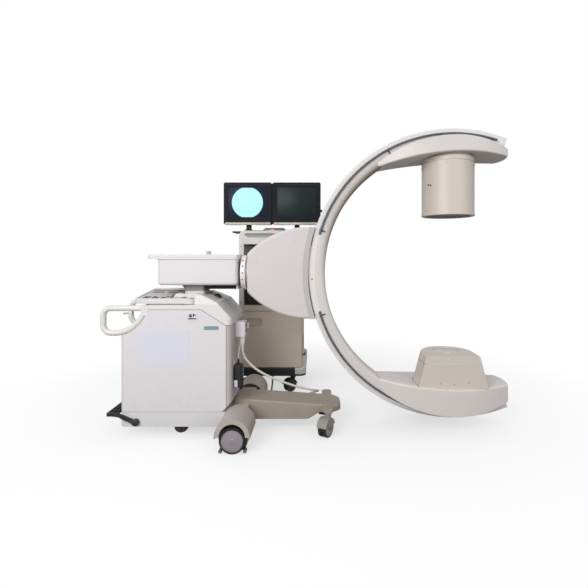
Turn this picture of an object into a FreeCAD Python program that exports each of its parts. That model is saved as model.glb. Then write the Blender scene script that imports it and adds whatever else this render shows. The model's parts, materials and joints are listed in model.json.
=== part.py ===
import FreeCAD, Part
import math
import os

# Mobile C-arm X-ray set: the stand with its C-arm, and its monitor trolley parked behind it.
# +X points from the cabinet to the patient, +Z is up, the floor is Z = 0 and the arm's plane Y = 0.

V = FreeCAD.Vector
xAxis = V(1, 0, 0)
yAxis = V(0, 1, 0)
zAxis = V(0, 0, 1)

# Fits
faceGap = 0.3
runFit = 0.08
shellWall = 4.0

# C-arc
arcX = 1338.0
arcZ = 824.0
arcOuter = 767.0
arcDepth = 87.0
arcHalfWidth = 72.0
arcEndX = 298.0
arcRound = 22.0
grooveHalf = 42.0
grooveDepth = 20.0
railThick = 3.0
railWidth = 12.0
railY = 27.0
handrailRadius = 5.5
handrailIn = 30.0
handrailOff = 9.0
handrailStart = 16.0
handrailEnd = 108.0
clipCount = 3

# Arc carriage
carriageLeft = 249.0
carriageLeftHalf = 104.0
carriageTopHalf = 242.0
carriageShoulderX = 544.0
carriageHalfWidth = 85.0
carriageBulge = 26.0
carriageClear = 3.0
bandWidth = 28.0
bandProud = 1.0
rollerRadius = 30.0
rollerWidth = 15.0
rollerAngle = 13.0
rollerClear = 3.0
rollerAxle = 6.0

# Rotary flange
flangeRadius = 92.0
flangeThick = 25.0
flangeStand = 13.0
flangeHub = 70.0
flangeHoles = 16
flangeHoleRadius = 4.0
shaftRadius = 45.0

# Horizontal arm
armRear = -215.0
armFront = 200.0
armHalf = 110.0
armBottom = 760.0
armLidBottom = 896.0
armTop = 921.0
armLidRear = -268.0
armRound = 16.0
slotHalf = 52.0
slotFront = 158.0
armWall = 12.0
lockX = 42.0
lockRadius = 13.0
lockHeight = 17.0
lockSpindle = 4.0
lockY = -70.0
bellowsTop = 757.0
bellowsBottom = 737.0
bellowsHalf = 60.0
bellowsFolds = 14

# Lift column
columnX = -35.0
columnLong = 104.0
columnWide = 130.0
columnStep = 9.0
columnFit = 0.5
columnWall = 6.0
columnFootThick = 12.0
columnTop = 700.0
headBottom = 728.0
headRadius = 34.0
headTop = 868.0

# Cabinet
cabRear = -379.0
cabFront = 184.0
cabHalf = 180.0
skirtBottom = 53.0
panelBottom = 128.0
panelTop = 641.0
frontSeamZ = 562.0
seamBreakX = 31.0
seamLevelX = 153.0
cabChamfer = 48.0
cabRound = 26.0
seam = 2.0
rimHeight = 24.0
roofColumn = 716.0
roofMid = 676.0
roofFront = 596.0
roofMidX = 111.0
roofBreakX = 20.0
roofSlope = 34.0
humpRear = -125.0
humpHalf = 96.0
humpSlope = 30.0

# Handles
handleRadius = 14.5
handleTop = 648.0
handleRear = -469.0
handleY = 165.0
handleBend = 38.0
handleHeel = 40.0
handleTopEnd = -252.0
cornerX = -414.5
cornerZ = 688.6
cornerRadius = 180.7
leverLong = 40.0
leverPinX = -328.0
leverDrop = 12.0
leverPin = 3.0
handleEndTurn = math.radians(26)
bossProud = 1.5

# Control panel
panelRear = -320.0
panelFront = -6.0
panelHalf = 150.0
panelThick = 23.0
panelMidZ = 708.0
panelTilt = 6.5

# Front connector block and handset
blockY = -60.0
blockWide = 70.0
blockDeep = 55.0
blockLow = 489.0
blockHigh = 567.0
handsetLow = 234.0
handsetHigh = 352.0
handsetDeep = 46.0
handsetY = -112.0
plugRadius = 13.0
plugLength = 38.0
glandRadius = 8.5
glandLength = 36.0

# Chassis
wheelX = 223.0
wheelRadius = 62.0
wheelWidth = 40.0
wheelOuterY = 372.0
axleRadius = 10.0
hoodRadius = 83.0
hoodZ = 81.0
hoodWall = 5.0
hoodEndY = 378.0
hoodLip = 4.0
hoodLow = 74.0
hoodLipRadius = 61.0
legHalf = 92.0
legTipX = 742.0
legRootTop = 160.0
legTipTop = 127.0
legLow = 58.0
legTipLow = 96.0
legRiseX = 570.0
legRiseLong = 58.0
beamLow = 92.0
beamHigh = 140.0
beamHalf = 40.0

# Castors: stem place, wheel radius, swivelled angle
frontCastorX = 672.0
frontCastorY = 150.0
frontCastorWheel = 46.0
frontCastorTop = 118.0
rearCastorX = -70.0
rearCastorY = 104.0
rearCastorWheel = 36.0
rearCastorTop = 106.0
castorTrail = 0.55

# Brake pedal
pedalX = -296.0
pedalZ = 78.0
pedalPivot = 18.0
pedalPin = 8.0
pedalY = 186.0
plateRear = -443.0
plateFront = -392.0
plateLow = 109.0
plateThick = 16.0

# Monitor trolley
trolleyLeft = 102.0
trolleyRight = 519.0
trolleyFront = 500.0
trolleyDepth = 600.0
trolleyBaseTop = 171.0
trolleyBaseLow = 118.0
trolleyBoxTop = 549.0
trolleyShelfTop = 584.0
trolleyFrameLow = 992.0
trolleyFrameTop = 1082.0
postWide = 30.0
postDeep = 60.0
trolleyRound = 44.0
doorThick = 20.0
doorGap = 0.3
doorPin = 4.0
doorPinIn = 9.0
gripLeft = 155.0
gripRight = 254.0
gripLow = 445.0
gripHigh = 502.0
trolleyCastorWheel = 42.0
trolleyCastorInset = 62.0
bayLow = 870.0
baseProud = 26.0
topSlotLow = 1036.0
topSlotHigh = 1063.0

# Monitors
monitorY = 770.0
monitorWide = 344.0
monitorHigh = 303.0
monitorLow = 1139.0
monitorDeep = 60.0
monitorGap = 9.0
monitorMidX = 299.5
screenWide = 284.0
screenHigh = 219.0
screenDrop = 30.0
tiltZ = 1250.0
tiltRadius = 12.0

# Image intensifier and tube
intensX = 1330.0
intensRadius = 138.0
intensLow = 1128.0
intensHigh = 1436.0
ringHigh = 12.0
windowDepth = 8.0
headHalf = 165.0
housingBack = 400.0
housingMidX = 1330.0
housingRound = 18.0
housingEnd = 92.0
housingReach = 476.0
upperSoft = 8.0
lowerSoft = 10.0
crownAhead = 60.0
upperBend = 1600.0
upperShell = 28.0
lowerBend = 3000.0
lowerShell = 50.0
intensRise = 14.0
intensTaper = 14.0
tubeX = 1315.0
tubeLow = 232.0
tubeSeam = 361.0
tubeBand = 393.0
tubeHigh = 401.0
tubeBottomWide = 361.0
tubeTopWide = 278.0
tubeGroove = 3.0
tubeWindow = 70.0

# Cable from the stand to the trolley
cableRadius = 6.0

arcInner = arcOuter - arcDepth
bellowsRear = columnX + columnLong / 2 + faceGap
columnFoot = panelBottom - seam + columnFootThick
flangeRear = carriageLeft - flangeStand - flangeThick
legRootX = wheelX + beamHalf
grooveFloor = arcOuter - grooveDepth
leverPinZ = handleTop - handleRadius - leverDrop
railTop = grooveFloor + railThick
rollerOrbit = railTop + rollerRadius + runFit
bandInner = arcOuter + carriageClear
arcCentre = V(arcX, 0, arcZ)
cableExit = V(cabFront + blockDeep - plugRadius - 4, blockY - 14, blockLow - plugLength - glandLength)


def boxAt(x0, x1, y0, y1, z0, z1):
    return Part.makeBox(x1 - x0, y1 - y0, z1 - z0, V(x0, y0, z0))


def rod(x, y, z, axis, radius, length):
    return Part.makeCylinder(radius, length, V(x, y, z), axis)


def tubeRod(x, y, z, axis, outer, inner, length):
    return rod(x, y, z, axis, outer, length).cut(rod(x, y, z, axis, inner, length))


def edgesAlong(shape, axis, test=None):
    """The straight edges that run along an axis, where test says yes of their middle."""
    found = []
    for edge in shape.Edges:
        if edge.Curve.TypeId != "Part::GeomLine":
            continue
        way = edge.Curve.Direction
        if abs(abs(way.dot(axis)) - 1) > 1e-6:
            continue
        middle = edge.valueAt((edge.FirstParameter + edge.LastParameter) / 2)
        if test is None or test(middle):
            found.append(edge)
    return found


def rounded(shape, axis, radius, test=None):
    return shape.makeFillet(radius, edgesAlong(shape, axis, test))


def roundBox(x0, x1, y0, y1, z0, z1, radius, axis=zAxis):
    return rounded(boxAt(x0, x1, y0, y1, z0, z1), axis, radius)


def slab(points, y0, y1):
    """A straight-sided outline in X and Z, given thickness from y0 to y1."""
    loop = [V(x, y0, z) for x, z in points]
    return Part.Face(Part.makePolygon(loop + loop[:1])).extrude(V(0, y1 - y0, 0))


def onArc(radius, angle, y=0.0):
    """A point of the arm's circle, angle degrees from its -X side, positive upwards."""
    turn = math.radians(angle)
    return V(arcX - radius * math.cos(turn), y, arcZ + radius * math.sin(turn))


def arcStart(profile, angle):
    """A profile of radius and Y, as a face across the arm's circle at an angle from its -X side."""
    turn = math.radians(angle)
    points = [V(arcX - r * math.cos(turn), y, arcZ + r * math.sin(turn)) for r, y in profile]
    return Part.Face(Part.makePolygon(points + points[:1]))


def arcBar(profile, start, end):
    """A bar of the arm's curvature from one angle to another, both measured from its -X side."""
    return arcStart(profile, start).revolve(arcCentre, yAxis, end - start)


def cArc():
    halfTurn = 112.0
    profile = [
        (arcInner, -arcHalfWidth), (arcOuter, -arcHalfWidth), (arcOuter, -grooveHalf),
        (grooveFloor, -grooveHalf), (grooveFloor, grooveHalf), (arcOuter, grooveHalf),
        (arcOuter, arcHalfWidth), (arcInner, arcHalfWidth),
    ]
    body = arcBar(profile, -halfTurn, halfTurn)
    inner = [e for e in body.Edges if e.Curve.TypeId == "Part::GeomCircle"
             and abs(e.Curve.Radius - arcInner) < 0.01]
    body = body.makeFillet(arcRound, inner)
    outer = [e for e in body.Edges if e.Curve.TypeId == "Part::GeomCircle"
             and abs(e.Curve.Radius - arcOuter) < 0.01
             and abs(abs(e.Curve.Center.y) - arcHalfWidth) < 0.01]
    body = body.makeFillet(6, outer)
    reach = 2 * arcOuter
    return body.cut(boxAt(arcX + arcEndX, arcX + reach, -reach, reach, arcZ - reach, arcZ + reach))


def guideRails():
    rails = []
    for side in (-1, 1):
        low = side * railY - railWidth / 2
        profile = [
            (grooveFloor, low), (railTop, low), (railTop, low + railWidth), (grooveFloor, low + railWidth),
        ]
        bar = arcBar(profile, -107, 107)
        rails.append(bar)
    return Part.makeCompound(rails)


def handrail(side, up):
    """One steel grip tube along the arm's face, held off it by short clips and closed at its ends."""
    radius = arcOuter - handrailIn
    y = side * (arcHalfWidth + handrailOff)
    start = min(up * handrailStart, up * handrailEnd)
    turn = math.radians(start)
    ring = Part.Wire(Part.makeCircle(handrailRadius, onArc(radius, start, y),
                                     V(math.sin(turn), 0, math.cos(turn))))
    tube = Part.Face(ring).revolve(arcCentre, yAxis, handrailEnd - handrailStart)
    posts = []
    for k in range(clipCount):
        angle = start + (handrailEnd - handrailStart) * (k + 0.04) / (clipCount - 0.92)
        face = onArc(radius, angle, side * arcHalfWidth)
        posts.append(Part.makeCylinder(handrailRadius - 1, handrailOff, face, V(0, side, 0)))
    return tube.fuse(posts)


def handrails():
    return Part.makeCompound([handrail(side, up) for side in (-1, 1) for up in (-1, 1)])


def fanOutline(half):
    """The carriage's white shell as seen from the side, a fan between the flange and the arm."""
    low = V(carriageLeft, -half, arcZ - carriageLeftHalf)
    high = V(carriageLeft, -half, arcZ + carriageLeftHalf)
    shoulderHigh = V(carriageShoulderX, -half, arcZ + carriageTopHalf)
    shoulderLow = V(carriageShoulderX, -half, arcZ - carriageTopHalf)
    edgeX = arcX - math.sqrt(bandInner ** 2 - carriageTopHalf ** 2)
    edgeHigh = V(edgeX, -half, arcZ + carriageTopHalf)
    edgeLow = V(edgeX, -half, arcZ - carriageTopHalf)
    middle = (high + shoulderHigh) * 0.5
    middleHigh = V(middle.x - carriageBulge * 0.7, -half, middle.z + carriageBulge)
    middleLow = V(middleHigh.x, -half, 2 * arcZ - middleHigh.z)
    hollow = V(arcX - bandInner, -half, arcZ)
    edges = [
        Part.makeLine(low, high),
        Part.Arc(high, middleHigh, shoulderHigh).toShape(),
        Part.makeLine(shoulderHigh, edgeHigh),
        Part.Arc(edgeHigh, hollow, edgeLow).toShape(),
        Part.makeLine(edgeLow, shoulderLow),
        Part.Arc(shoulderLow, middleLow, low).toShape(),
    ]
    return Part.Face(Part.Wire(edges)).extrude(V(0, 2 * half, 0))


def rollerPlaces():
    return [onArc(rollerOrbit, side * rollerAngle) for side in (-1, 1)]


def rollerPockets(reach):
    cuts = []
    for place in rollerPlaces():
        cuts.append(rod(place.x, -reach, place.z, yAxis, rollerRadius + rollerClear, 2 * reach))
    return cuts


def axleHoles():
    long = 2 * carriageHalfWidth
    return [rod(p.x, -carriageHalfWidth, p.z, yAxis, rollerAxle + runFit, long) for p in rollerPlaces()]


def rollerReach():
    return railY + rollerWidth / 2 + rollerClear


def arcCarriage():
    """The fan-shaped shell with its grey edge band, and the pockets and holes of its two roller axles."""
    body = fanOutline(carriageHalfWidth)
    soft = [e for e in body.Edges if e.BoundBox.YLength < 0.01 and e.BoundBox.XLength > 1
            and e.BoundBox.XMax < carriageShoulderX + 1]
    body = body.makeFillet(14, soft)
    half = carriageHalfWidth + bandProud
    reach = carriageTopHalf + bandProud
    ring = tubeRod(arcX, -half, arcZ, yAxis, bandInner + bandWidth, bandInner, 2 * half)
    band = ring.common(boxAt(carriageLeft, arcX, -half, half, arcZ - reach, arcZ + reach))
    return body.fuse(band).cut(rollerPockets(rollerReach()) + axleHoles())


def rollerPair(place):
    """Two flangeless rollers on one cross axle, running on the arm's two rails."""
    solids = [rod(place.x, -carriageHalfWidth + 8, place.z, yAxis, rollerAxle, 2 * (carriageHalfWidth - 8))]
    for side in (-1, 1):
        low = side * railY - rollerWidth / 2
        solids.append(rod(place.x, low, place.z, yAxis, rollerRadius, rollerWidth))
    return solids[0].fuse(solids[1:])


def rotaryFlange():
    """The disc that the C turns on: a ring of holes in its rim, a hub to the carriage and the arm's shaft."""
    disc = rod(flangeRear, 0, arcZ, xAxis, flangeRadius, flangeThick)
    disc = disc.makeFillet(2, [e for e in disc.Edges if e.Curve.TypeId == "Part::GeomCircle"])
    mid = flangeRear + flangeThick / 2
    holes = []
    for k in range(flangeHoles):
        turn = 2 * math.pi * k / flangeHoles
        way = V(0, math.cos(turn), math.sin(turn))
        at = V(mid, 0, arcZ) + way * (flangeRadius - 6)
        holes.append(Part.makeCylinder(flangeHoleRadius, 10, at, way))
    hub = rod(flangeRear + flangeThick - 1, 0, arcZ, xAxis, flangeHub, flangeStand + 1 - faceGap)
    shaft = rod(slotFront + 2, 0, arcZ, xAxis, shaftRadius, flangeRear - slotFront)
    return disc.cut(holes).fuse([hub, shaft])


def armHousing():
    body = roundBox(armRear, armFront, -armHalf, armHalf, armBottom, armLidBottom - faceGap, armRound, xAxis)
    top = boxAt(armRear, armFront, -armHalf, armHalf, armLidBottom - armRound - 2, armLidBottom - faceGap)
    body = rounded(body.fuse(top).removeSplitter(), zAxis, armRound)
    hollow = boxAt(armRear + armWall, slotFront, -armHalf + armWall, armHalf - armWall,
                   armBottom + armWall, armLidBottom - armWall)
    slot = boxAt(armRear + armWall, slotFront, -slotHalf, slotHalf, armBottom - 1, armBottom + armWall + 1)
    bore = rod(slotFront - 1, 0, arcZ, xAxis, shaftRadius + runFit, armFront - slotFront + 2)
    body = body.cut([hollow, slot, bore])
    bracket = boxAt(armFront - 14, armFront - 3, -bellowsHalf, bellowsHalf, bellowsBottom, armBottom)
    return body.fuse(bracket)


def armLid():
    lid = roundBox(armLidRear, armFront + 4, -armHalf - 3, armHalf + 3, armLidBottom, armTop, armRound)
    lid = lid.makeFillet(6, [e for e in lid.Edges if abs(e.BoundBox.ZMin - armTop) < 0.01
                             and e.BoundBox.ZLength < 0.01])
    return lid.cut(rod(lockX, lockY, armTop - 16, zAxis, lockSpindle + runFit, 17))


def slideLock():
    """The fluted knob that locks the arm's slide, on its spindle in the lid."""
    knob = rod(lockX, lockY, armTop + faceGap, zAxis, lockRadius, lockHeight)
    knob = knob.makeFillet(3, [e for e in knob.Edges if e.BoundBox.ZMin > armTop + lockHeight])
    flutes = []
    flutePlace = lockRadius + 1.5
    for k in range(8):
        turn = 2 * math.pi * k / 8
        flutes.append(rod(lockX + flutePlace * math.cos(turn), lockY + flutePlace * math.sin(turn), armTop,
                          zAxis, 3, lockHeight + 2))
    return knob.cut(flutes).fuse(rod(lockX, lockY, armTop - 15, zAxis, lockSpindle, 16))


def bellows():
    front = armFront - 14 - faceGap
    fold = (front - bellowsRear) / bellowsFolds
    y = -bellowsHalf
    middle = bellowsBottom + 0.45 * fold
    folds = []
    for k in range(bellowsFolds):
        left = bellowsRear + fold * k
        arc = Part.Arc(V(left, y, middle), V(left + fold / 2, y, bellowsBottom), V(left + fold, y, middle))
        outline = Part.Wire([Part.makeLine(V(left, y, bellowsTop), V(left, y, middle)), arc.toShape(),
                             Part.makeLine(V(left + fold, y, middle), V(left + fold, y, bellowsTop)),
                             Part.makeLine(V(left + fold, y, bellowsTop), V(left, y, bellowsTop))])
        folds.append(Part.Face(outline).extrude(V(0, 2 * bellowsHalf, 0)))
    return folds[0].fuse(folds[1:]).removeSplitter()


def columnTube(long, wide, wall, low, high, radius):
    outer = roundBox(columnX - long / 2, columnX + long / 2, -wide / 2, wide / 2, low, high, radius)
    inner = roundBox(columnX - long / 2 + wall, columnX + long / 2 - wall, -wide / 2 + wall,
                     wide / 2 - wall, low - 1, high + 1, max(radius - wall, 2))
    return outer.cut(inner)


def innerColumn():
    tube = columnTube(columnLong, columnWide, columnWall, columnFoot + 20, headBottom - 10, 14)
    cap = roundBox(columnX - columnLong / 2, columnX + columnLong / 2, -columnWide / 2, columnWide / 2,
                   headBottom - 10, headBottom - faceGap, 14)
    return tube.fuse(cap)


def middleColumn():
    grow = 2 * (columnFit + columnStep)
    return columnTube(columnLong + grow, columnWide + grow, columnStep, columnFoot + 10, columnTop + 6, 18)


def outerColumn():
    grow = 4 * (columnFit + columnStep)
    body = columnTube(columnLong + grow, columnWide + grow, columnStep, columnFoot, columnTop, 22)
    foot = roundBox(columnX - columnLong / 2 - 60, columnX + columnLong / 2 + 60, -columnWide / 2 - 40,
                    columnWide / 2 + 40, columnFoot - 12, columnFoot, 12)
    return body.fuse(foot)


def columnHead():
    base = roundBox(columnX - columnLong / 2, columnX + columnLong / 2, -columnWide / 2, columnWide / 2,
                    headBottom, armBottom - 3, 14)
    neck = rod(columnX, 0, armBottom - 4, zAxis, headRadius, headTop - armBottom + 4)
    plate = roundBox(columnX - headRadius, columnX + headRadius, -armHalf + armWall + 1,
                     armHalf - armWall - 1, armBottom + armWall + faceGap, armBottom + armWall + 40, 8)
    wedge = slab([(columnX - columnLong / 2, headBottom), (columnX - columnLong / 2 - 26, armBottom - 4),
                  (columnX - columnLong / 2, armBottom - 4)], -30, 30)
    return base.fuse([neck, plate, wedge])


def cabinetOutline(low, high, grow):
    """The cabinet's side outline, its front foot cut off at an angle."""
    return slab([(cabRear - grow, low), (cabFront - cabChamfer + grow, low),
                 (cabFront + grow, low + cabChamfer), (cabFront + grow, frontSeamZ),
                 (seamLevelX, frontSeamZ), (seamBreakX, high), (cabRear - grow, high)],
                -cabHalf - grow, cabHalf + grow)


def cabinetShell():
    """The cabinet's panels as one thin shell with soft corners, open at the top and the bottom."""
    outer = rounded(cabinetOutline(panelBottom, panelTop, 0), zAxis, cabRound)
    inner = cabinetOutline(panelBottom - 1, panelTop + 1, -shellWall)
    return outer.cut(rounded(inner, zAxis, cabRound - shellWall))


def handleCut(grow=0.0):
    """The rear top corner of the cabinet, cut away round behind the handle loops."""
    return rod(cornerX, -cabHalf - 5, cornerZ, yAxis, cornerRadius + grow, 2 * cabHalf + 10)


def sideCover(shell, side):
    y0, y1 = (-cabHalf - 1, -seam / 2) if side < 0 else (seam / 2, cabHalf + 1)
    part = shell.common(boxAt(cabRear - 1, cabFront - cabRound - seam, y0, y1, 0, panelTop))
    reach = cabHalf - shellWall
    ledge = handleCut(shellWall + faceGap).common(boxAt(cabRear - 1, handleTopEnd + 40, -reach, reach, 0, panelTop + 1))
    return part.cut([handleCut(), ledge, handleBoss(side, faceGap)])


def frontPanel(shell):
    part = shell.common(boxAt(cabFront - cabRound, cabFront + 1, -cabHalf - 1, cabHalf + 1, 0, frontSeamZ - 1))
    return part


def cabinetFrame():
    """The base pan with its skirt, and the two upright plates that carry the covers."""
    panTop = panelBottom - seam
    pan = slab([(cabRear, skirtBottom), (cabFront - cabChamfer, skirtBottom),
                (cabFront, skirtBottom + cabChamfer), (cabFront, panTop), (cabRear, panTop)],
               -cabHalf, cabHalf)
    pan = rounded(pan, zAxis, cabRound)
    hollow = boxAt(cabRear + 10, cabFront - cabChamfer - 4, -cabHalf + 10, cabHalf - 10,
                   skirtBottom - 1, rearCastorTop + faceGap)
    pin = rod(pedalX, -cabHalf - 1, pedalZ, yAxis, pedalPin + runFit, 12)
    uprights = []
    for side in (-1, 1):
        y = side * (cabHalf - shellWall - faceGap - 3)
        uprights.append(boxAt(cabRear + 85, cabFront - 60, y - 3, y + 3, panTop, frontSeamZ - 20))
    tunnel = boxAt(wheelX - beamHalf - faceGap, wheelX + beamHalf, -cabHalf, cabHalf, 0, beamHigh + 2)
    return pan.cut([hollow, pin, tunnel]).fuse(uprights)


def coverCut(side, rim):
    """The wedge that slopes the roof's long edge inwards above the rim."""
    outer = side * (cabHalf + 2)
    inner = side * (cabHalf - roofSlope)
    peak = roofColumn + 6
    wedge = [V(cabRear - 10, outer, rim + 1), V(cabRear - 10, inner, peak), V(cabRear - 10, outer, peak)]
    return Part.Face(Part.makePolygon(wedge + wedge[:1])).extrude(V(cabFront - cabRear + 20, 0, 0))


def topCover():
    """The roof: a rim all round, a hump round the column and a slope falling to the front."""
    rim = panelTop + rimHeight
    step = panelFront + seam
    body = slab([
        (cabRear, panelTop + seam), (seamBreakX + 1, panelTop + seam), (seamLevelX + 1, frontSeamZ + seam),
        (cabFront, frontSeamZ + seam), (cabFront, roofFront), (roofMidX, roofMid), (roofBreakX, roofColumn),
        (step, roofColumn), (step, rim), (cabRear, rim)], -cabHalf, cabHalf)
    body = rounded(body, zAxis, cabRound, lambda p: abs(p.x - cabRear) < 1 or abs(p.x - cabFront) < 1)
    hump = slab([(humpRear - humpSlope, rim - 1), (humpRear, roofColumn), (step + 1, roofColumn), (step + 1, rim - 1)],
                -humpHalf, humpHalf)
    grow = 4 * (columnFit + columnStep) + 2
    well = roundBox(columnX - (columnLong + grow) / 2, columnX + (columnLong + grow) / 2,
                    -(columnWide + grow) / 2, (columnWide + grow) / 2, frontSeamZ, roofColumn + 2, 22)
    wall = 2 * shellWall
    under = slab([(cabRear + wall, panelTop - 1), (seamBreakX - 6, panelTop - 1), (seamLevelX, frontSeamZ - 1),
                  (cabFront - wall, frontSeamZ - 1), (cabFront - wall, roofFront - wall - 2),
                  (roofMidX - 3, roofMid - wall), (roofBreakX - 4, roofColumn - wall),
                  (step + wall, roofColumn - wall), (step + wall, rim - 6), (cabRear + wall, rim - 6)],
                 -cabHalf + roofSlope + 2, cabHalf - roofSlope - 2)
    slopes = [coverCut(side, rim) for side in (-1, 1)]
    body = body.cut([under] + slopes).fuse(hump).cut([well, handleCut()])
    reach = cabHalf - shellWall - faceGap
    skin = handleCut(shellWall).cut(handleCut())
    lowZ = cornerZ - math.sqrt(cornerRadius ** 2 - (cabRear + 1 - cornerX) ** 2)
    skin = skin.common(boxAt(cabRear + 1, handleTopEnd + 30, -reach, reach, lowZ - shellWall, panelTop + seam + 1))
    return body.fuse(skin).cut([handleBoss(side, faceGap) for side in (-1, 1)])


def handleTurn(centre, start, end):
    """A bend of handle tube about centre, from start round to end."""
    out = start - centre
    ring = Part.Face(Part.Wire(Part.makeCircle(handleRadius, start, out.cross(yAxis))))
    return ring.revolve(centre, yAxis, -math.degrees(out.getAngle(end - centre)))


def handleLoop(side):
    """A push handle: a tube back from the roof, down, and forward again along the cut corner."""
    y = side * handleY
    follow = cornerRadius - handleRadius - faceGap
    heelX = handleRear + handleHeel
    heelZ = cornerZ - math.sqrt((follow - handleHeel) ** 2 - (heelX - cornerX) ** 2)
    heel = V(heelX, y, heelZ)
    corner = V(cornerX, y, cornerZ)
    touch = corner + (heel - corner).normalize() * follow
    end = corner + V(math.cos(handleEndTurn), 0, -math.sin(handleEndTurn)) * follow
    bend = V(handleRear + handleBend, y, handleTop - handleBend)
    top = rod(bend.x, y, handleTop, xAxis, handleRadius, handleTopEnd - bend.x)
    back = rod(handleRear, y, heelZ, zAxis, handleRadius, bend.z - heelZ)
    return top.fuse([
        handleTurn(bend, V(bend.x, y, handleTop), V(handleRear, y, bend.z)), back,
        handleTurn(heel, V(handleRear, y, heelZ), touch), handleTurn(corner, touch, end),
    ])


def handleBoss(side, grow):
    """The block that joins both ends of a handle to the roof, or with grow the space for it."""
    y = side * handleY
    half = handleRadius + bossProud + grow
    return boxAt(handleTopEnd - 20 - grow, handleTopEnd + 16 + grow, y - half, y + half,
                 handleTop - handleRadius - 22 - grow, handleTop + half)


def handles():
    loops = []
    for side in (-1, 1):
        y = side * handleY
        loop = handleLoop(side).fuse(handleBoss(side, 0))
        if side < 0:
            for end in (-1, 1):
                cheek = roundBox(leverPinX - 7, leverPinX + 7, y + end * 8 - 1.5, y + end * 8 + 1.5,
                                 leverPinZ - 7, handleTop - handleRadius + 2, 3, yAxis)
                loop = loop.fuse(cheek)
            loop = loop.cut(rod(leverPinX, y - 12, leverPinZ, yAxis, leverPin + runFit, 24))
        loops.append(loop)
    return Part.makeCompound(loops)


def brakeLever():
    """The small squeeze lever under the near handle's top tube, on its cross pin."""
    y = -handleY
    arm = roundBox(leverPinX - leverLong, leverPinX + 6, y - 5, y + 5, leverPinZ - 4, leverPinZ + 4, 3.5, yAxis)
    arm = arm.fuse(rod(leverPinX - leverLong + 6, y - 9, leverPinZ, yAxis, 4, 18))
    return arm.fuse(rod(leverPinX, y - 9.5, leverPinZ, yAxis, leverPin, 19))


def controlPanel():
    """The key panel, tilted to the near side, with a bay at its front for the roof's hump."""
    rim = panelTop + rimHeight
    panel = roundBox(panelRear, panelFront, -panelHalf, panelHalf, 0, panelThick, 24)
    bay = roundBox(humpRear - humpSlope - 3, panelFront + 30, -humpHalf - 5, humpHalf + 5, -1, panelThick + 1, 18)
    panel = panel.cut(bay)
    panel = panel.makeFillet(4, [e for e in panel.Edges if abs(e.BoundBox.ZMin - panelThick) < 0.01])
    panel.rotate(V(0, 0, 0), xAxis, panelTilt)
    drop = panelMidZ - panelThick
    panel.translate(V(0, 0, drop))
    foot = boxAt(handleTopEnd + 26, humpRear - humpSlope - 8, -panelHalf + 40, panelHalf - 40, rim + faceGap, drop + 4)
    return panel.fuse(foot)


def connectorBlock():
    """The socket box on the front panel, with the monitor cable's plug and strain relief under it."""
    body = roundBox(cabFront + faceGap, cabFront + blockDeep, blockY - blockWide / 2, blockY + blockWide / 2,
                    blockLow, blockHigh, 6)
    plug = rod(cableExit.x, cableExit.y, blockLow - plugLength, zAxis, plugRadius, plugLength + 1)
    relief = Part.makeCone(cableRadius + 1, glandRadius, glandLength, cableExit, zAxis)
    return body.fuse([plug, relief])


def handSwitch():
    """The hand switch, hanging on the front panel."""
    x = cabFront + faceGap
    grip = roundBox(x, x + handsetDeep, handsetY - 24, handsetY + 24, handsetLow, handsetHigh, 14)
    return grip.makeFillet(5, [e for e in grip.Edges if e.BoundBox.ZLength < 0.01])


def mainWheel(side):
    """A main wheel: rubber tyre and dished disc, its blind hub bore open to the inside."""
    inner = wheelOuterY - wheelWidth
    tyre = rod(wheelX, inner, wheelRadius, yAxis, wheelRadius, wheelWidth)
    tyre = tyre.makeFillet(7, [e for e in tyre.Edges if e.Curve.TypeId == "Part::GeomCircle"])
    dish = rod(wheelX, wheelOuterY - 5, wheelRadius, yAxis, wheelRadius - 14, 6)
    bore = rod(wheelX, inner - 1, wheelRadius, yAxis, axleRadius + runFit, wheelWidth - 10)
    wheel = tyre.cut([dish, bore])
    return wheel if side > 0 else wheel.mirror(V(0, 0, 0), yAxis)


def hood(side):
    """A half-round cover over the beam and the main wheel, with an arched lip at its outer end."""
    low = cabHalf + 1
    long = hoodEndY - low
    shell = rod(wheelX, low, hoodZ, yAxis, hoodRadius, long)
    cave = rod(wheelX, low - 1, hoodZ, yAxis, hoodRadius - hoodWall, long - hoodLip + 1)
    mouth = rod(wheelX, low, hoodZ, yAxis, hoodLipRadius, long + 1)
    under = boxAt(wheelX - hoodRadius - 1, wheelX + hoodRadius + 1, low - 1, low + long + 1, -5, hoodZ)
    shell = shell.cut([cave, mouth, under])
    skirts = []
    for end in (-1, 1):
        x = wheelX + end * (hoodRadius - hoodWall / 2)
        skirts.append(boxAt(x - hoodWall / 2, x + hoodWall / 2, low, low + long, hoodLow, hoodZ))
    whole = shell.fuse(skirts)
    return whole if side > 0 else whole.mirror(V(0, 0, 0), yAxis)


def wheelHoods():
    return Part.makeCompound([hood(side) for side in (-1, 1)])


def chassisBeam():
    """The welded cross beam in the hoods, with its stub axles and the mud guards inside the wheels."""
    guardY = wheelOuterY - wheelWidth - 8
    beam = boxAt(wheelX - beamHalf, wheelX + beamHalf, -guardY, guardY, beamLow, beamHigh)
    pieces = []
    for side in (-1, 1):
        reach = hoodRadius - hoodWall - faceGap
        guard = rod(wheelX, guardY - 12, hoodZ, yAxis, reach, 12)
        guard = guard.cut(boxAt(wheelX - reach, wheelX + reach, 0, guardY + 1, -20, wheelRadius / 2))
        axle = rod(wheelX, guardY - 10, wheelRadius, yAxis, axleRadius, wheelOuterY - 14 - guardY + 10)
        for piece in (guard, axle):
            pieces.append(piece if side > 0 else piece.mirror(V(0, 0, 0), yAxis))
    return beam.fuse(pieces)


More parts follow.
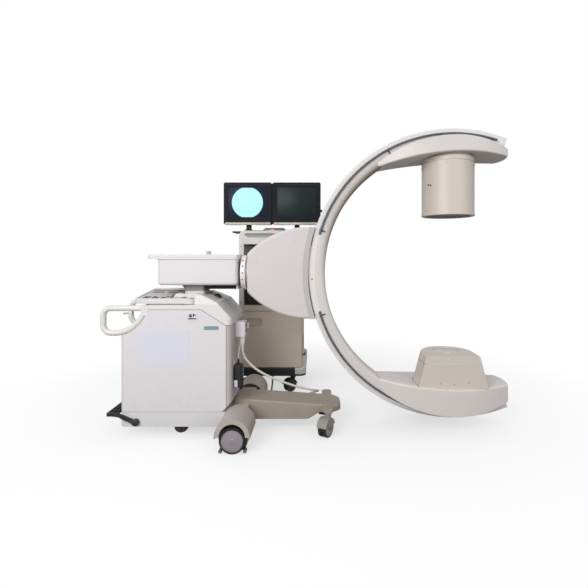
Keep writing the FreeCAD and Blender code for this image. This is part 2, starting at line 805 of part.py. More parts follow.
def frontLeg():
    """The long front leg: a shallow hollow box, rounded at its tip, with the castors' cross bar in it."""
    body = slab([(legRootX, legLow), (legRiseX, legLow), (legRiseX + legRiseLong, legTipLow - 2),
                 (legTipX, legTipLow), (legTipX, legTipTop), (legRootX, legRootTop)], -legHalf, legHalf)
    body = rounded(body, yAxis, 40, lambda p: abs(p.x - legRiseX) < 1)
    body = rounded(body, zAxis, 60, lambda p: p.x > legRootX + 100)
    root = boxAt(cabFront + seam, legRootX + 1, -legHalf + 6, legHalf - 6, beamHigh, legRootTop)
    upper = [e for e in body.Edges if e.BoundBox.ZMin > legTipTop - 1 and e.BoundBox.XMax > legRootX + 5]
    body = body.makeFillet(9, upper)
    under = slab([(legRootX + 30, legLow - 1), (legRiseX - 10, legLow - 1),
                  (legRiseX - 10, legTipTop - 12), (legRootX + 30, legRootTop - 14)],
                 -legHalf + 10, legHalf - 10)
    barLow = frontCastorTop + faceGap
    bar = roundBox(frontCastorX - 27, frontCastorX + 27, -frontCastorY - 27, frontCastorY + 27,
                   barLow, barLow + 12, 26)
    return body.cut(under).fuse([root, bar]).removeSplitter()


def castorFork(x, y, top, wheel, width, turn):
    """A hooded castor fork: a swivel cap and neck, and a hood over the twin wheel, with its axle."""
    trail = wheel * castorTrail
    axleZ = wheel
    hoodR = wheel + 5
    cap = rod(0, 0, top - 9, zAxis, 20, 9)
    neck = rod(0, 0, axleZ + hoodR - 8, zAxis, 15, top - axleZ - hoodR + 2)
    hood = rod(-trail, -width / 2 - 5, axleZ, yAxis, hoodR, width + 10)
    cave = rod(-trail, -width / 2 - 1, axleZ, yAxis, wheel + 2, width + 2)
    lower = boxAt(-trail - hoodR - 1, -trail + hoodR + 1, -width, width, -10, axleZ + wheel * 0.25)
    shell = hood.cut([cave, lower])
    arms = []
    for side in (-1, 1):
        y0 = side * (width / 2 + 1)
        y1 = side * (width / 2 + 5)
        arms.append(boxAt(-trail - 9, -trail + 9, min(y0, y1), max(y0, y1), axleZ, axleZ + wheel))
        arms.append(rod(-trail, min(y0, y1), axleZ, yAxis, 9, 4))
    axle = rod(-trail, -width / 2 - 5, axleZ, yAxis, 4, width + 10)
    fork = shell.fuse([cap, neck]).cut(cave).fuse([axle] + arms)
    fork.rotate(V(0, 0, 0), zAxis, turn)
    fork.translate(V(x, y, 0))
    return fork


def castorWheel(x, y, wheel, width, turn):
    """Twin wheels on one hub, free on the fork's axle."""
    trail = wheel * castorTrail
    hub = rod(-trail, -width / 2 + 1, wheel, yAxis, wheel * 0.5, width - 2)
    solids = []
    for side in (-1, 1):
        low = -width / 2 if side < 0 else width * 0.1
        disc = rod(-trail, low, wheel, yAxis, wheel, width * 0.4)
        disc = disc.makeFillet(3, [e for e in disc.Edges if e.Curve.TypeId == "Part::GeomCircle"])
        solids.append(disc)
    body = hub.fuse(solids).cut(rod(-trail, -width, wheel, yAxis, 4 + runFit, 2 * width))
    body.rotate(V(0, 0, 0), zAxis, turn)
    body.translate(V(x, y, 0))
    return body


def brakePedal():
    """The brake pedal: a pivot disc on the near side, a curved arm and a wide foot plate at the rear."""
    y0 = -pedalY - 10
    disc = rod(pedalX, y0, pedalZ, yAxis, pedalPivot, 12)
    armHigh = plateLow + 6
    arm = slab([(pedalX - 4, pedalZ - 12), (pedalX - 4, pedalZ + 12), (plateFront + 10, armHigh + 10),
                (plateFront - 20, armHigh + 10), (plateFront - 20, armHigh - 6), (plateFront + 10, armHigh - 10)],
               y0 + 1, y0 + 9)
    plate = roundBox(plateRear, plateFront, y0 + 1, cabHalf - 30, plateLow, plateLow + plateThick, 12)
    plate = plate.makeFillet(4, [e for e in plate.Edges if e.BoundBox.ZMin > plateLow + plateThick - 0.1])
    pin = rod(pedalX, y0 + 11, pedalZ, yAxis, pedalPin, pedalY - cabHalf + 7)
    return disc.fuse([arm, plate, pin])


def trolleyBack():
    return trolleyFront + trolleyDepth


def trolleyBase():
    body = roundBox(trolleyLeft - baseProud, trolleyRight + baseProud, trolleyFront - 6, trolleyBack() + 6,
                    trolleyBaseLow, trolleyBaseTop - faceGap, trolleyRound)
    upper = [e for e in body.Edges if abs(e.BoundBox.ZMin - (trolleyBaseTop - faceGap)) < 0.01]
    body = body.makeFillet(8, upper)
    pads = []
    for x, y in trolleyCorners():
        pads.append(rod(x, y, trolleyBaseLow - 14, zAxis, 24, 15))
    pin = doorPinRod(trolleyBaseTop - 2, trolleyBaseTop + 15, 0)
    return body.fuse(pads + [pin])


def trolleyCorners():
    inset = trolleyCastorInset
    return [(x, y) for y in (trolleyFront + inset, trolleyBack() - inset)
            for x in (trolleyLeft + inset, trolleyRight - inset)]


def trolleyCabinet():
    """The lower cupboard, open at the front behind its door, and the shelf on top of it."""
    body = boxAt(trolleyLeft, trolleyRight, trolleyFront + doorThick + doorGap, trolleyBack(),
                 trolleyBaseTop, trolleyBoxTop)
    cave = boxAt(trolleyLeft + 14, trolleyRight - 14, trolleyFront, trolleyBack() - 14,
                 trolleyBaseTop + 14, trolleyBoxTop - 10)
    tray = boxAt(trolleyLeft + 14, trolleyRight - 14, trolleyFront + 60, trolleyBack() - 14, 350, 362)
    shelf = rounded(boxAt(trolleyLeft - 2, trolleyRight + 2, trolleyFront - 4, trolleyBack() + 4,
                          trolleyBoxTop, trolleyShelfTop), zAxis, 12)
    pin = doorPinRod(trolleyBoxTop - 15, trolleyBoxTop + 2, 0)
    return body.cut(cave).fuse([tray, shelf, pin])


def trolleyFrame():
    """Four posts from the shelf to the top board, the top frame, and the dark equipment bay between."""
    posts = []
    for x in (trolleyLeft, trolleyRight - postWide):
        for y in (trolleyFront, trolleyBack() - postDeep):
            posts.append(boxAt(x, x + postWide, y, y + postDeep, trolleyShelfTop, trolleyFrameLow + 2))
    top = boxAt(trolleyLeft, trolleyRight, trolleyFront, trolleyBack(), trolleyFrameLow, trolleyFrameTop)
    top = rounded(top, yAxis, trolleyRound - 12, lambda p: p.z > trolleyFrameTop - 1)
    shade = boxAt(trolleyLeft + 12, trolleyRight - 12, trolleyFront - 1, trolleyBack() + 1,
                  trolleyFrameLow - 1, topSlotHigh)
    edge = boxAt(trolleyLeft - 1, trolleyRight + 1, trolleyFront + 14, trolleyBack() - 14,
                 trolleyFrameLow - 1, topSlotHigh)
    slot = slab([(trolleyLeft + 34, topSlotHigh), (trolleyLeft + 56, topSlotLow), (trolleyRight - 56, topSlotLow),
                 (trolleyRight - 34, topSlotHigh)], trolleyFront - 1, trolleyFront + 20)
    equipment = boxAt(trolleyLeft + postWide + 6, trolleyRight - postWide - 6, trolleyFront + 30,
                      trolleyBack() - 70, trolleyShelfTop, bayLow)
    side = []
    for x in (trolleyLeft + 8, trolleyRight - 14):
        side.append(boxAt(x, x + 6, trolleyFront + postDeep, trolleyBack() - postDeep, trolleyShelfTop,
                          trolleyFrameLow + 2))
    top = top.cut([shade.common(edge), slot])
    lamp = rod(monitorMidX + 20, trolleyFront + 80, trolleyFrameTop, zAxis, 15, 14)
    return top.fuse(posts + [equipment, lamp] + side)


def doorPinRod(low, high, grow):
    """The door's upright hinge pin between two heights, or with grow the hole for it."""
    return rod(trolleyRight - doorPinIn, trolleyFront + doorPinIn, low, zAxis, doorPin + grow, high - low)


def trolleyDoor():
    """The cupboard door, its hinge edge rounded about the pins, with a sunk grip."""
    door = boxAt(trolleyLeft + 1, trolleyRight - 1, trolleyFront, trolleyFront + doorThick,
                 trolleyBaseTop + 3, trolleyBoxTop - 3)
    door = rounded(door, zAxis, doorPinIn - 1, lambda p: p.x > trolleyRight - 2)
    holes = [doorPinRod(low, low + 17, runFit) for low in (trolleyBaseTop, trolleyBoxTop - 17)]
    grip = roundBox(gripLeft, gripRight, trolleyFront - 1, trolleyFront + doorThick - 5, gripLow, gripHigh, 16,
                    yAxis)
    return door.cut([grip] + holes)


def monitorStand():
    """The two swivel feet on the top board and the cross bar that carries both tilt heads."""
    solids = []
    for side in (-1, 1):
        x = monitorMidX + side * (monitorWide + monitorGap) / 2
        y = monitorY + 30
        foot = Part.makeCone(62, 24, 26, V(x, y, trolleyFrameTop), zAxis)
        neck = boxAt(x - 18, x + 18, y - 14, y + 14, trolleyFrameTop + 20, tiltZ - 20)
        head = rod(x - 40, y, tiltZ, xAxis, tiltRadius, 80)
        lug = boxAt(x - 18, x + 18, y - 14, y + 14, tiltZ - 22, tiltZ)
        board = roundBox(x - 110, x + 110, y - 90, y + 120, trolleyFrameTop, trolleyFrameTop + 8, 20)
        solids += [foot, neck, head, lug, board]
    bar = boxAt(monitorMidX - monitorWide / 2, monitorMidX + monitorWide / 2, monitorY + 20, monitorY + 40,
                trolleyFrameTop + 8, trolleyFrameTop + 20)
    return bar.fuse(solids)


def monitor(side):
    """A flat screen: a dark bezel with a recessed screen, a pale chin and a hump with its tilt lugs."""
    x = monitorMidX + side * (monitorWide + monitorGap) / 2
    left = x - monitorWide / 2
    body = boxAt(left, left + monitorWide, monitorY - 38, monitorY - 38 + monitorDeep, monitorLow,
                 monitorLow + monitorHigh)
    body = rounded(body, yAxis, 12)
    back = boxAt(x - 110, x + 110, monitorY - 38 + monitorDeep - 1, monitorY + 60, monitorLow + 50,
                 monitorLow + 250)
    back = rounded(back, xAxis, 10, lambda p: p.y > monitorY + 20)
    screenLow = monitorLow + monitorHigh - screenDrop - screenHigh
    screen = boxAt(x - screenWide / 2, x + screenWide / 2, monitorY - 39, monitorY - 32, screenLow,
                   screenLow + screenHigh)
    pocket = boxAt(x - 56, x + 56, monitorY + 4, monitorY + 60, monitorLow - 1, tiltZ + 34)
    shell = body.fuse(back).cut([screen, pocket])
    for end in (-1, 1):
        low = x + end * 30 if end > 0 else x - 38
        ear = boxAt(low, low + 8, monitorY + 3, monitorY + 44, tiltZ - 14, tiltZ + 14)
        ear = ear.cut(rod(low - 1, monitorY + 30, tiltZ, xAxis, tiltRadius + 0.3, 10))
        shell = shell.fuse(ear)
    return shell


def endPlan(low, high):
    """The housings' plan: as wide as the arm behind, widest near the head, rounded at the arm's end."""
    rear = arcX - housingBack
    front = arcX + arcEndX
    shoulder = front - housingRound
    left = Part.Arc(V(rear, -arcHalfWidth, low), V(housingMidX, -headHalf, low), V(shoulder, -housingEnd, low))
    nose = Part.Arc(V(shoulder, -housingEnd, low), V(front, 0, low), V(shoulder, housingEnd, low))
    right = Part.Arc(V(shoulder, housingEnd, low), V(housingMidX, headHalf, low), V(rear, arcHalfWidth, low))
    back = Part.makeLine(V(rear, arcHalfWidth, low), V(rear, -arcHalfWidth, low))
    outline = Part.Wire([left.toShape(), nose.toShape(), right.toShape(), back])
    return Part.Face(outline).extrude(V(0, 0, high - low))


def arcSpace(grow):
    """The room that the arm's bar takes, a little larger all round, for what is shaped to it."""
    half = arcHalfWidth + grow
    return tubeRod(arcX, -half, arcZ, yAxis, arcOuter + 60, arcInner - grow, 2 * half)


def endHousing(crown, bend, shell, soft):
    """A flared shell inside the arm's lower end: crown is the height of its curved inner face at the middle."""
    reach = headHalf + 5
    body = endPlan(arcZ - arcOuter, arcZ - housingReach)
    body = body.common(rod(arcX, -reach, arcZ, yAxis, arcInner + shell, 2 * reach))
    body = body.cut(rod(arcX + crownAhead, -reach, crown + bend, yAxis, bend, 2 * reach))
    rim = [e for e in body.Edges if e.BoundBox.ZMin > crown - 1 and e.BoundBox.XMax > arcX]
    return body.makeFillet(soft, rim).cut(arcSpace(faceGap))


def upperHousing():
    """The same kind of shell turned over, with the round seat that the intensifier hangs from."""
    crown = 2 * arcZ - (intensHigh + intensRise)
    body = endHousing(crown, upperBend, upperShell, upperSoft).mirror(arcCentre, zAxis)
    seat = rod(intensX, 0, intensHigh + faceGap, zAxis, intensRadius - intensTaper, intensRise + 20)
    return body.fuse(seat).cut(arcSpace(faceGap))


def lowerHousing():
    wide = tubeBottomWide + 2 * faceGap
    seat = dBlock(wide, wide, tubeLow - faceGap, tubeLow + 40)
    return endHousing(tubeLow - faceGap, lowerBend, lowerShell, lowerSoft).cut(seat)


def intensifier():
    """The image intensifier: a tall can with a rim ring at its entrance and the window sunk in it."""
    low = intensLow + ringHigh
    body = rod(intensX, 0, low - 1, zAxis, intensRadius, intensHigh - low + 1)
    groove = tubeRod(intensX, 0, intensHigh - 26, zAxis, intensRadius + 1, intensRadius - 3, 4)
    ring = rod(intensX, 0, intensLow, zAxis, intensRadius + 2, ringHigh)
    ring = ring.makeFillet(3, [e for e in ring.Edges if e.BoundBox.ZMax < intensLow + 0.1])
    window = rod(intensX, 0, intensLow - 1, zAxis, intensRadius - 16, windowDepth + 1)
    return body.cut(groove).fuse(ring).cut(window)


def dBlock(lowWide, highWide, low, high):
    """A block of D-shaped plan, flat near side and half-round far side, whose width changes with height."""
    flat = 20 - headHalf
    straight = -flat - tubeBottomWide / 2
    middle = V(tubeX, straight, low)
    if lowWide == highWide:
        end = Part.makeCylinder(lowWide / 2, high - low, middle, zAxis)
    else:
        end = Part.makeCone(lowWide / 2, highWide / 2, high - low, middle, zAxis)
    end = end.common(boxAt(tubeX - lowWide, tubeX + lowWide, straight, straight + lowWide, low, high))
    front = [V(tubeX - lowWide / 2, straight, low), V(tubeX + lowWide / 2, straight, low),
             V(tubeX + highWide / 2, straight, high), V(tubeX - highWide / 2, straight, high)]
    body = Part.Face(Part.makePolygon(front + front[:1])).extrude(V(0, flat - straight, 0))
    return body.fuse(end).removeSplitter()


def tubeWide(z):
    """The tube head's width at a height: it narrows evenly towards its top."""
    return tubeBottomWide + (tubeTopWide - tubeBottomWide) * (z - tubeLow) / (tubeBand - tubeLow)


def tubeHead():
    lower = dBlock(tubeBottomWide, tubeWide(tubeSeam - tubeGroove), tubeLow, tubeSeam - tubeGroove)
    neckWide = tubeWide(tubeSeam) - 8
    neck = dBlock(neckWide, neckWide, tubeSeam - tubeGroove - 1, tubeSeam + 1)
    return lower.fuse(neck)


def tubeCover():
    """The tube head's upper band with the collimator window sunk in its top."""
    low = tubeSeam + 1 + faceGap
    lower = dBlock(tubeWide(low), tubeTopWide, low, tubeBand)
    cap = dBlock(tubeTopWide, tubeTopWide - 16, tubeBand, tubeHigh)
    window = rod(tubeX, 0, tubeHigh - 4, zAxis, tubeWindow, 6)
    return lower.fuse(cap).cut(window)


def cablePoints():
    """The cable's route: out of its strain relief, over the leg, down to the floor and into the trolley."""
    exitZ = cableExit.z
    x, y = cableExit.x, cableExit.y
    return [
        V(x, y, exitZ - 1.6), V(x + 6, y + 1, exitZ - 30), V(x + 26, y + 7, exitZ - 62),
        V(x + 60, y + 17, exitZ - 98), V(x + 102, y + 29, exitZ - 130), V(x + 148, y + 44, exitZ - 157),
        V(x + 198, y + 61, exitZ - 182), V(x + 250, y + 80, exitZ - 206), V(x + 296, y + 102, exitZ - 227),
        V(x + 338, y + 124, exitZ - 243), V(600, 74, 157), V(622, 110, 144), V(625, 151, 130),
        V(608, 190, 113), V(573, 217, 92), V(534, 240, 66), V(500, 262, 40), V(472, 290, 18),
        V(446, 322, 6.2), V(410, 358, 6.2), V(372, 400, 6.2), V(343, 450, 6.2), V(322, 502, 6.2),
        V(312, 556, 6.2), V(310, 608, 6.2), V(310, 654, 33.0), V(310, 681, 79.4),
        V(310, 681, trolleyBaseLow),
    ]


def cordTube(points, radius):
    """A round tube along straight runs joined by tangent arcs, each as large as its two runs allow."""
    edges = []
    last = points[0]
    radii = []
    for before, corner, after in zip(points, points[1:], points[2:]):
        back = before - corner
        ahead = after - corner
        half = (math.pi - back.getAngle(ahead)) / 2
        inset = 0.45 * min(back.Length, ahead.Length)
        bend = inset / math.tan(half)
        start = corner + back.normalize() * inset
        end = corner + ahead.normalize() * inset
        inward = (back + ahead).normalize()
        middle = corner + inward * (bend / math.cos(half) - bend)
        edges += [Part.makeLine(last, start), Part.Arc(start, middle, end).toShape()]
        last = end
        radii.append(bend)
    edges.append(Part.makeLine(last, points[-1]))
    path = Part.Wire(edges)
    first = (points[1] - points[0]).normalize()
    ring = Part.Wire(Part.makeCircle(radius, points[0], first))
    tube = path.makePipeShell([ring], True, False)
    print("cable length", round(path.Length, 1), "volume ratio",
          round(tube.Volume / (math.pi * radius ** 2 * path.Length), 4))
    print("cable radii", [round(r) for r in radii])
    return tube


def stand():
    """The chassis, the cabinet and what is fixed to it."""
    shell = cabinetShell()
    return {
        "chassis_beam": chassisBeam(),
        "front_leg": frontLeg(),
        "wheel_hoods": wheelHoods(),
        "cabinet_frame": cabinetFrame(),
        "side_cover_near": sideCover(shell, -1),
        "side_cover_far": sideCover(shell, 1),
        "front_panel": frontPanel(shell),
        "top_cover": topCover(),
        "handles": handles(),
        "control_panel": controlPanel(),
        "connector_block": connectorBlock(),
        "hand_switch": handSwitch(),
        "brake_lever": brakeLever(),
        "brake_pedal": brakePedal(),
        "monitor_cable": cordTube(cablePoints(), cableRadius),
        "main_wheel_near": mainWheel(-1),
        "main_wheel_far": mainWheel(1),
    }


def liftAndArm():
    """The telescopic column, the sliding arm on it and the flange that turns at its end."""
    return {
        "outer_column": outerColumn(),
        "middle_column": middleColumn(),
        "inner_column": innerColumn(),
        "column_head": columnHead(),
        "arm_housing": armHousing(),
        "arm_lid": armLid(),
        "slide_lock_knob": slideLock(),
        "bellows": bellows(),
        "rotary_flange": rotaryFlange(),
        "arc_carriage": arcCarriage(),
        "rollers_lower": rollerPair(rollerPlaces()[0]),
        "rollers_upper": rollerPair(rollerPlaces()[1]),
    }


def cArm():
    """The C-arc with its rails, the image intensifier at its top end and the X-ray tube at its lower end."""
    return {
        "c_arc": cArc(),
        "guide_rails": guideRails(),
        "handrails": handrails(),
        "upper_housing": upperHousing(),
        "intensifier": intensifier(),
        "lower_housing": lowerHousing(),
        "tube_head": tubeHead(),
        "tube_cover": tubeCover(),
    }


def castorPlaces():
    """Each castor's name, stem place, mounting height, wheel radius, width and swivel angle."""
    places = [
        ("front_near", frontCastorX, -frontCastorY, frontCastorTop, frontCastorWheel, 44.0, 60),
        ("front_far", frontCastorX, frontCastorY, frontCastorTop, frontCastorWheel, 44.0, 60),
        ("rear_near", rearCastorX, -rearCastorY, rearCastorTop, rearCastorWheel, 30.0, 20),
        ("rear_far", rearCastorX, rearCastorY, rearCastorTop, rearCastorWheel, 30.0, 20),
    ]
    corners = ("trolley_left_near", "trolley_right_near", "trolley_left_far", "trolley_right_far")
    for name, (x, y) in zip(corners, trolleyCorners()):
        places.append((name, x, y, trolleyBaseLow - 14 - faceGap, trolleyCastorWheel, 34.0, 35))
    return places


def castors():
    nodes = {}
    for name, x, y, top, wheel, width, turn in castorPlaces():
        nodes[name + "_fork"] = castorFork(x, y, top, wheel, width, turn)
        nodes[name + "_wheel"] = castorWheel(x, y, wheel, width, turn)
    return nodes


def trolley():
    return {
        "trolley_base": trolleyBase(),
        "trolley_cabinet": trolleyCabinet(),
        "trolley_frame": trolleyFrame(),
        "trolley_door": trolleyDoor(),
        "monitor_stand": monitorStand(),
        "monitor_left": monitor(-1),
        "monitor_right": monitor(1),
    }


def allNodes():
    nodes = {}
    for group in (stand(), liftAndArm(), cArm(), castors(), trolley()):
        nodes.update(group)
    return nodes


def middleOnFloor(nodes):
    """The shift that puts the origin on the floor below the middle of the set, the cable left out."""
    solid = [shape for name, shape in nodes.items() if name != "monitor_cable"]
    whole = Part.makeCompound(solid).optimalBoundingBox(False)
    return V(-(whole.XMin + whole.XMax) / 2, -(whole.YMin + whole.YMax) / 2, 0)


def writeParts(nodes, shift):
    os.makedirs("parts", exist_ok=True)
    for name, shape in nodes.items():
        shape.translate(shift)
        if not shape.isValid() or not shape.Solids:
            print("invalid", name)
        shape.exportStep("parts/" + name + ".step")


madeNodes = allNodes()
placeShift = middleOnFloor(madeNodes)
writeParts(madeNodes, placeShift)
print("shift", placeShift, "nodes", len(madeNodes))
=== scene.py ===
import bpy
import bmesh
import json
import math
from mathutils import Matrix, Vector


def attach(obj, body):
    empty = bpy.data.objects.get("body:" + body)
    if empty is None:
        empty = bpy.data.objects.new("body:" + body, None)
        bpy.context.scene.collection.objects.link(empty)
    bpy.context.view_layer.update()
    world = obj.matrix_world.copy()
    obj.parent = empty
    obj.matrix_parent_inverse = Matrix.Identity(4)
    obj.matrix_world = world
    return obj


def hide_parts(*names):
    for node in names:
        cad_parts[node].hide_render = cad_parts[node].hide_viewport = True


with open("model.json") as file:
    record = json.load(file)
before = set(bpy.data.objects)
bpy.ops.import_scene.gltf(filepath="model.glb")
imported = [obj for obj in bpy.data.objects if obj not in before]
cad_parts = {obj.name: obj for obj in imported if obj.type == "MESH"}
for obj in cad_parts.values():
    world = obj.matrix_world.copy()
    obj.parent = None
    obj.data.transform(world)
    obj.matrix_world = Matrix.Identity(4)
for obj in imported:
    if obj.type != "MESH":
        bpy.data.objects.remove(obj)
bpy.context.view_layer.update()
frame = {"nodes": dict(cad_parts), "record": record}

# The CAD is drawn in millimetres from the column's foot, and the frame's origin is this far from it.
placeShift = {"x": 576.25, "y": 364.0}


def at(x, y, z):
    return Vector(((x - placeShift["x"]) / 1000, (y - placeShift["y"]) / 1000, z / 1000))


def mm(value):
    return value / 1000


def tint(r, g, b):
    # a colour as seen in the photograph, 0 to 255, made linear
    shares = [c / 255 for c in (r, g, b)]
    return (*(c / 12.92 if c <= 0.04045 else ((c + 0.055) / 1.055) ** 2.4 for c in shares), 1.0)


# Shared places of the build, in its own millimetres
arc = {"x": 1338.0, "z": 824.0, "half": 72.0}
coverFace = -180.0
screens = {"y": 770.0, "wide": 344.0, "high": 303.0, "low": 1139.0, "gap": 9.0, "mid": 299.5}
alongX, alongY, alongZ = (1.0, 0.0, 0.0), (0.0, 1.0, 0.0), (0.0, 0.0, 1.0)
towardsView = (0.0, -1.0, 0.0)
sides = (("near", -1), ("far", 1))


# Node groups shared by the materials

def feed(tree, socket, value):
    # another socket is linked in, a constant is set
    if isinstance(value, bpy.types.NodeSocket):
        tree.links.new(value, socket)
    else:
        socket.default_value = value


def addStep(tree, kind, operation, values):
    node = tree.nodes.new(kind)
    node.operation = operation
    for socket, value in zip(node.inputs, values):
        feed(tree, socket, value)
    return node.outputs


def scalarStep(tree, operation, *values):
    return addStep(tree, "ShaderNodeMath", operation, values)["Value"]


def vectorStep(tree, operation, *values):
    return addStep(tree, "ShaderNodeVectorMath", operation, values)["Vector"]


def lengthOf(tree, value):
    return addStep(tree, "ShaderNodeVectorMath", "LENGTH", (value,))["Value"]


def axesOf(tree, value):
    split = tree.nodes.new("ShaderNodeSeparateXYZ")
    feed(tree, split.inputs[0], value)
    return split.outputs


def noise(tree, place, scale, detail, roughness=0.5):
    node = tree.nodes.new("ShaderNodeTexNoise")
    for label, value in (("Vector", place), ("Scale", scale), ("Detail", detail), ("Roughness", roughness)):
        feed(tree, node.inputs[label], value)
    return node.outputs["Fac"]


def ranged(tree, value, low, high, first=0.0, last=1.0, smooth=False):
    # value from low to high becomes first to last
    node = tree.nodes.new("ShaderNodeMapRange")
    if smooth:
        node.interpolation_type = "SMOOTHSTEP"
    for label, setting in (("Value", value), ("From Min", low), ("From Max", high), ("To Min", first),
                           ("To Max", last)):
        feed(tree, node.inputs[label], setting)
    return node.outputs["Result"]


def newGroup(name, made, **given):
    # the outputs are numbers; an input is a place where it has no default, and otherwise a number
    group = bpy.data.node_groups.new(name, "ShaderNodeTree")
    for label, value in given.items():
        kind = "NodeSocketVector" if value is None else "NodeSocketFloat"
        socket = group.interface.new_socket(name=label, in_out="INPUT", socket_type=kind)
        if value is not None:
            socket.default_value = value
    for label in made:
        group.interface.new_socket(name=label, in_out="OUTPUT", socket_type="NodeSocketFloat")
    return group, group.nodes.new("NodeGroupInput").outputs, group.nodes.new("NodeGroupOutput").inputs


def buildFinish():
    # fine grain for the bump, and a slow tone change for colour and roughness
    group, given, made = newGroup("mouldedFinish", ("Height", "Tone"), Vector=None, Grain=900.0, Cloud=7.0)
    feed(group, made["Height"], noise(group, given["Vector"], given["Grain"], 3.0))
    feed(group, made["Tone"], noise(group, given["Vector"], given["Cloud"], 5.0, 0.62))
    return group


def buildDust():
    # scuffs and settled dust, strongest near the floor
    group, given, made = newGroup("floorDust", ("Mask",), Vector=None, Reach=0.16, Amount=0.4)
    high = scalarStep(group, "DIVIDE", axesOf(group, given["Vector"])["Z"], given["Reach"])
    low = scalarStep(group, "MAXIMUM", scalarStep(group, "SUBTRACT", 1.0, high), 0.0)
    speck = ranged(group, noise(group, given["Vector"], 38.0, 7.0, 0.7), 0.42, 0.72)
    mask = scalarStep(group, "MULTIPLY", scalarStep(group, "MULTIPLY", low, speck), given["Amount"])
    feed(group, made["Mask"], mask)
    return group


def buildBoxMask():
    # 1 inside a box given by its middle and half sizes
    group, given, made = newGroup("boxMask", ("Mask",), Vector=None, Middle=None, Half=None)
    away = vectorStep(group, "ABSOLUTE", vectorStep(group, "SUBTRACT", given["Vector"], given["Middle"]))
    past = axesOf(group, vectorStep(group, "SUBTRACT", away, given["Half"]))
    most = scalarStep(group, "MAXIMUM", scalarStep(group, "MAXIMUM", past["X"], past["Y"]), past["Z"])
    feed(group, made["Mask"], scalarStep(group, "LESS_THAN", most, 0.0))
    return group


def buildRoundMask():
    # 1 within a radius of an axis that runs through Middle along the unit vector Axis
    group, given, made = newGroup("roundMask", ("Mask",), Vector=None, Middle=None, Axis=None, Radius=0.1)
    away = vectorStep(group, "SUBTRACT", given["Vector"], given["Middle"])
    radius = lengthOf(group, vectorStep(group, "CROSS_PRODUCT", away, given["Axis"]))
    feed(group, made["Mask"], scalarStep(group, "LESS_THAN", radius, given["Radius"]))
    return group


def buildPaintedShade():
    # painted shade: 1 at the inner radius about the Y axis through Middle, 0 at the outer one, strongest on the
    # upper side
    group, given, made = newGroup("radiusPaintedShade", ("Mask",), Vector=None, Middle=None, Inner=0.6, Outer=0.7,
                                  Least=0.3)
    away = axesOf(group, vectorStep(group, "SUBTRACT", given["Vector"], given["Middle"]))
    squares = [scalarStep(group, "MULTIPLY", away[label], away[label]) for label in ("X", "Z")]
    radius = scalarStep(group, "SQRT", scalarStep(group, "ADD", *squares))
    band = ranged(group, radius, given["Inner"], given["Outer"], 1.0, 0.0, smooth=True)
    lift = ranged(group, away["Z"], -0.1, 0.35, given["Least"], 1.0, smooth=True)
    feed(group, made["Mask"], scalarStep(group, "MULTIPLY", band, lift))
    return group


groups = {"paintedShade": buildPaintedShade(), "finish": buildFinish(), "dust": buildDust(), "box": buildBoxMask(),
          "round": buildRoundMask()}
print("node groups", len(groups))


# Materials

def addGroup(tree, name, place, **values):
    node = tree.nodes.new("ShaderNodeGroup")
    node.node_tree = groups[name]
    for label, value in {"Vector": place, **values}.items():
        feed(tree, node.inputs[label], value)
    return node.outputs


def mixColour(tree, mask, a, b):
    node = tree.nodes.new("ShaderNodeMix")
    node.data_type = "RGBA"
    feed(tree, node.inputs["Factor"], mask)
    for label, value in (("A", a), ("B", b)):
        feed(tree, [s for s in node.inputs if s.name == label and s.type == "RGBA"][0], value)
    return [s for s in node.outputs if s.type == "RGBA"][0]


def finish(name, colour, rough=0.45, grain=900.0, bump=0.05, cloud=7.0, shade=0.06, dust=0.0, reach=0.2,
           metallic=0.0, coat=0.0, specular=0.5, zones=(), flat=False):
    # zones: (mask group, its values, colour) painted over the base in turn; flat: shade each face by itself
    material = bpy.data.materials.new(name)
    material.use_nodes = True
    tree = material.node_tree
    place = tree.nodes.new("ShaderNodeTexCoord").outputs["Object"]
    look = addGroup(tree, "finish", place, Grain=grain, Cloud=cloud)
    for kind, values, zoneColour in zones:
        colour = mixColour(tree, addGroup(tree, kind, place, **values)["Mask"], colour, zoneColour)
    darker = tree.nodes.new("ShaderNodeHueSaturation")
    darker.inputs["Value"].default_value = 1.0 - 2.2 * shade
    feed(tree, darker.inputs["Color"], colour)
    tone = mixColour(tree, look["Tone"], colour, darker.outputs["Color"])
    if dust:
        mask = addGroup(tree, "dust", place, Reach=reach, Amount=dust)["Mask"]
        tone = mixColour(tree, mask, tone, tint(168, 158, 146))
    relief = tree.nodes.new("ShaderNodeBump")
    relief.inputs["Strength"].default_value = bump
    relief.inputs["Distance"].default_value = 0.0006
    feed(tree, relief.inputs["Height"], look["Height"])
    if flat:
        feed(tree, relief.inputs["Normal"], tree.nodes.new("ShaderNodeNewGeometry").outputs["True Normal"])
    roughness = ranged(tree, look["Tone"], 0.0, 1.0, max(rough - 0.08, 0.02), min(rough + 0.1, 1.0))
    shader = tree.nodes["Principled BSDF"].inputs
    for label, value in (("Metallic", metallic), ("Coat Weight", coat), ("Coat Roughness", 0.25),
                         ("Specular IOR Level", specular), ("Base Color", tone), ("Roughness", roughness),
                         ("Normal", relief.outputs["Normal"])):
        feed(tree, shader[label], value)
    return material


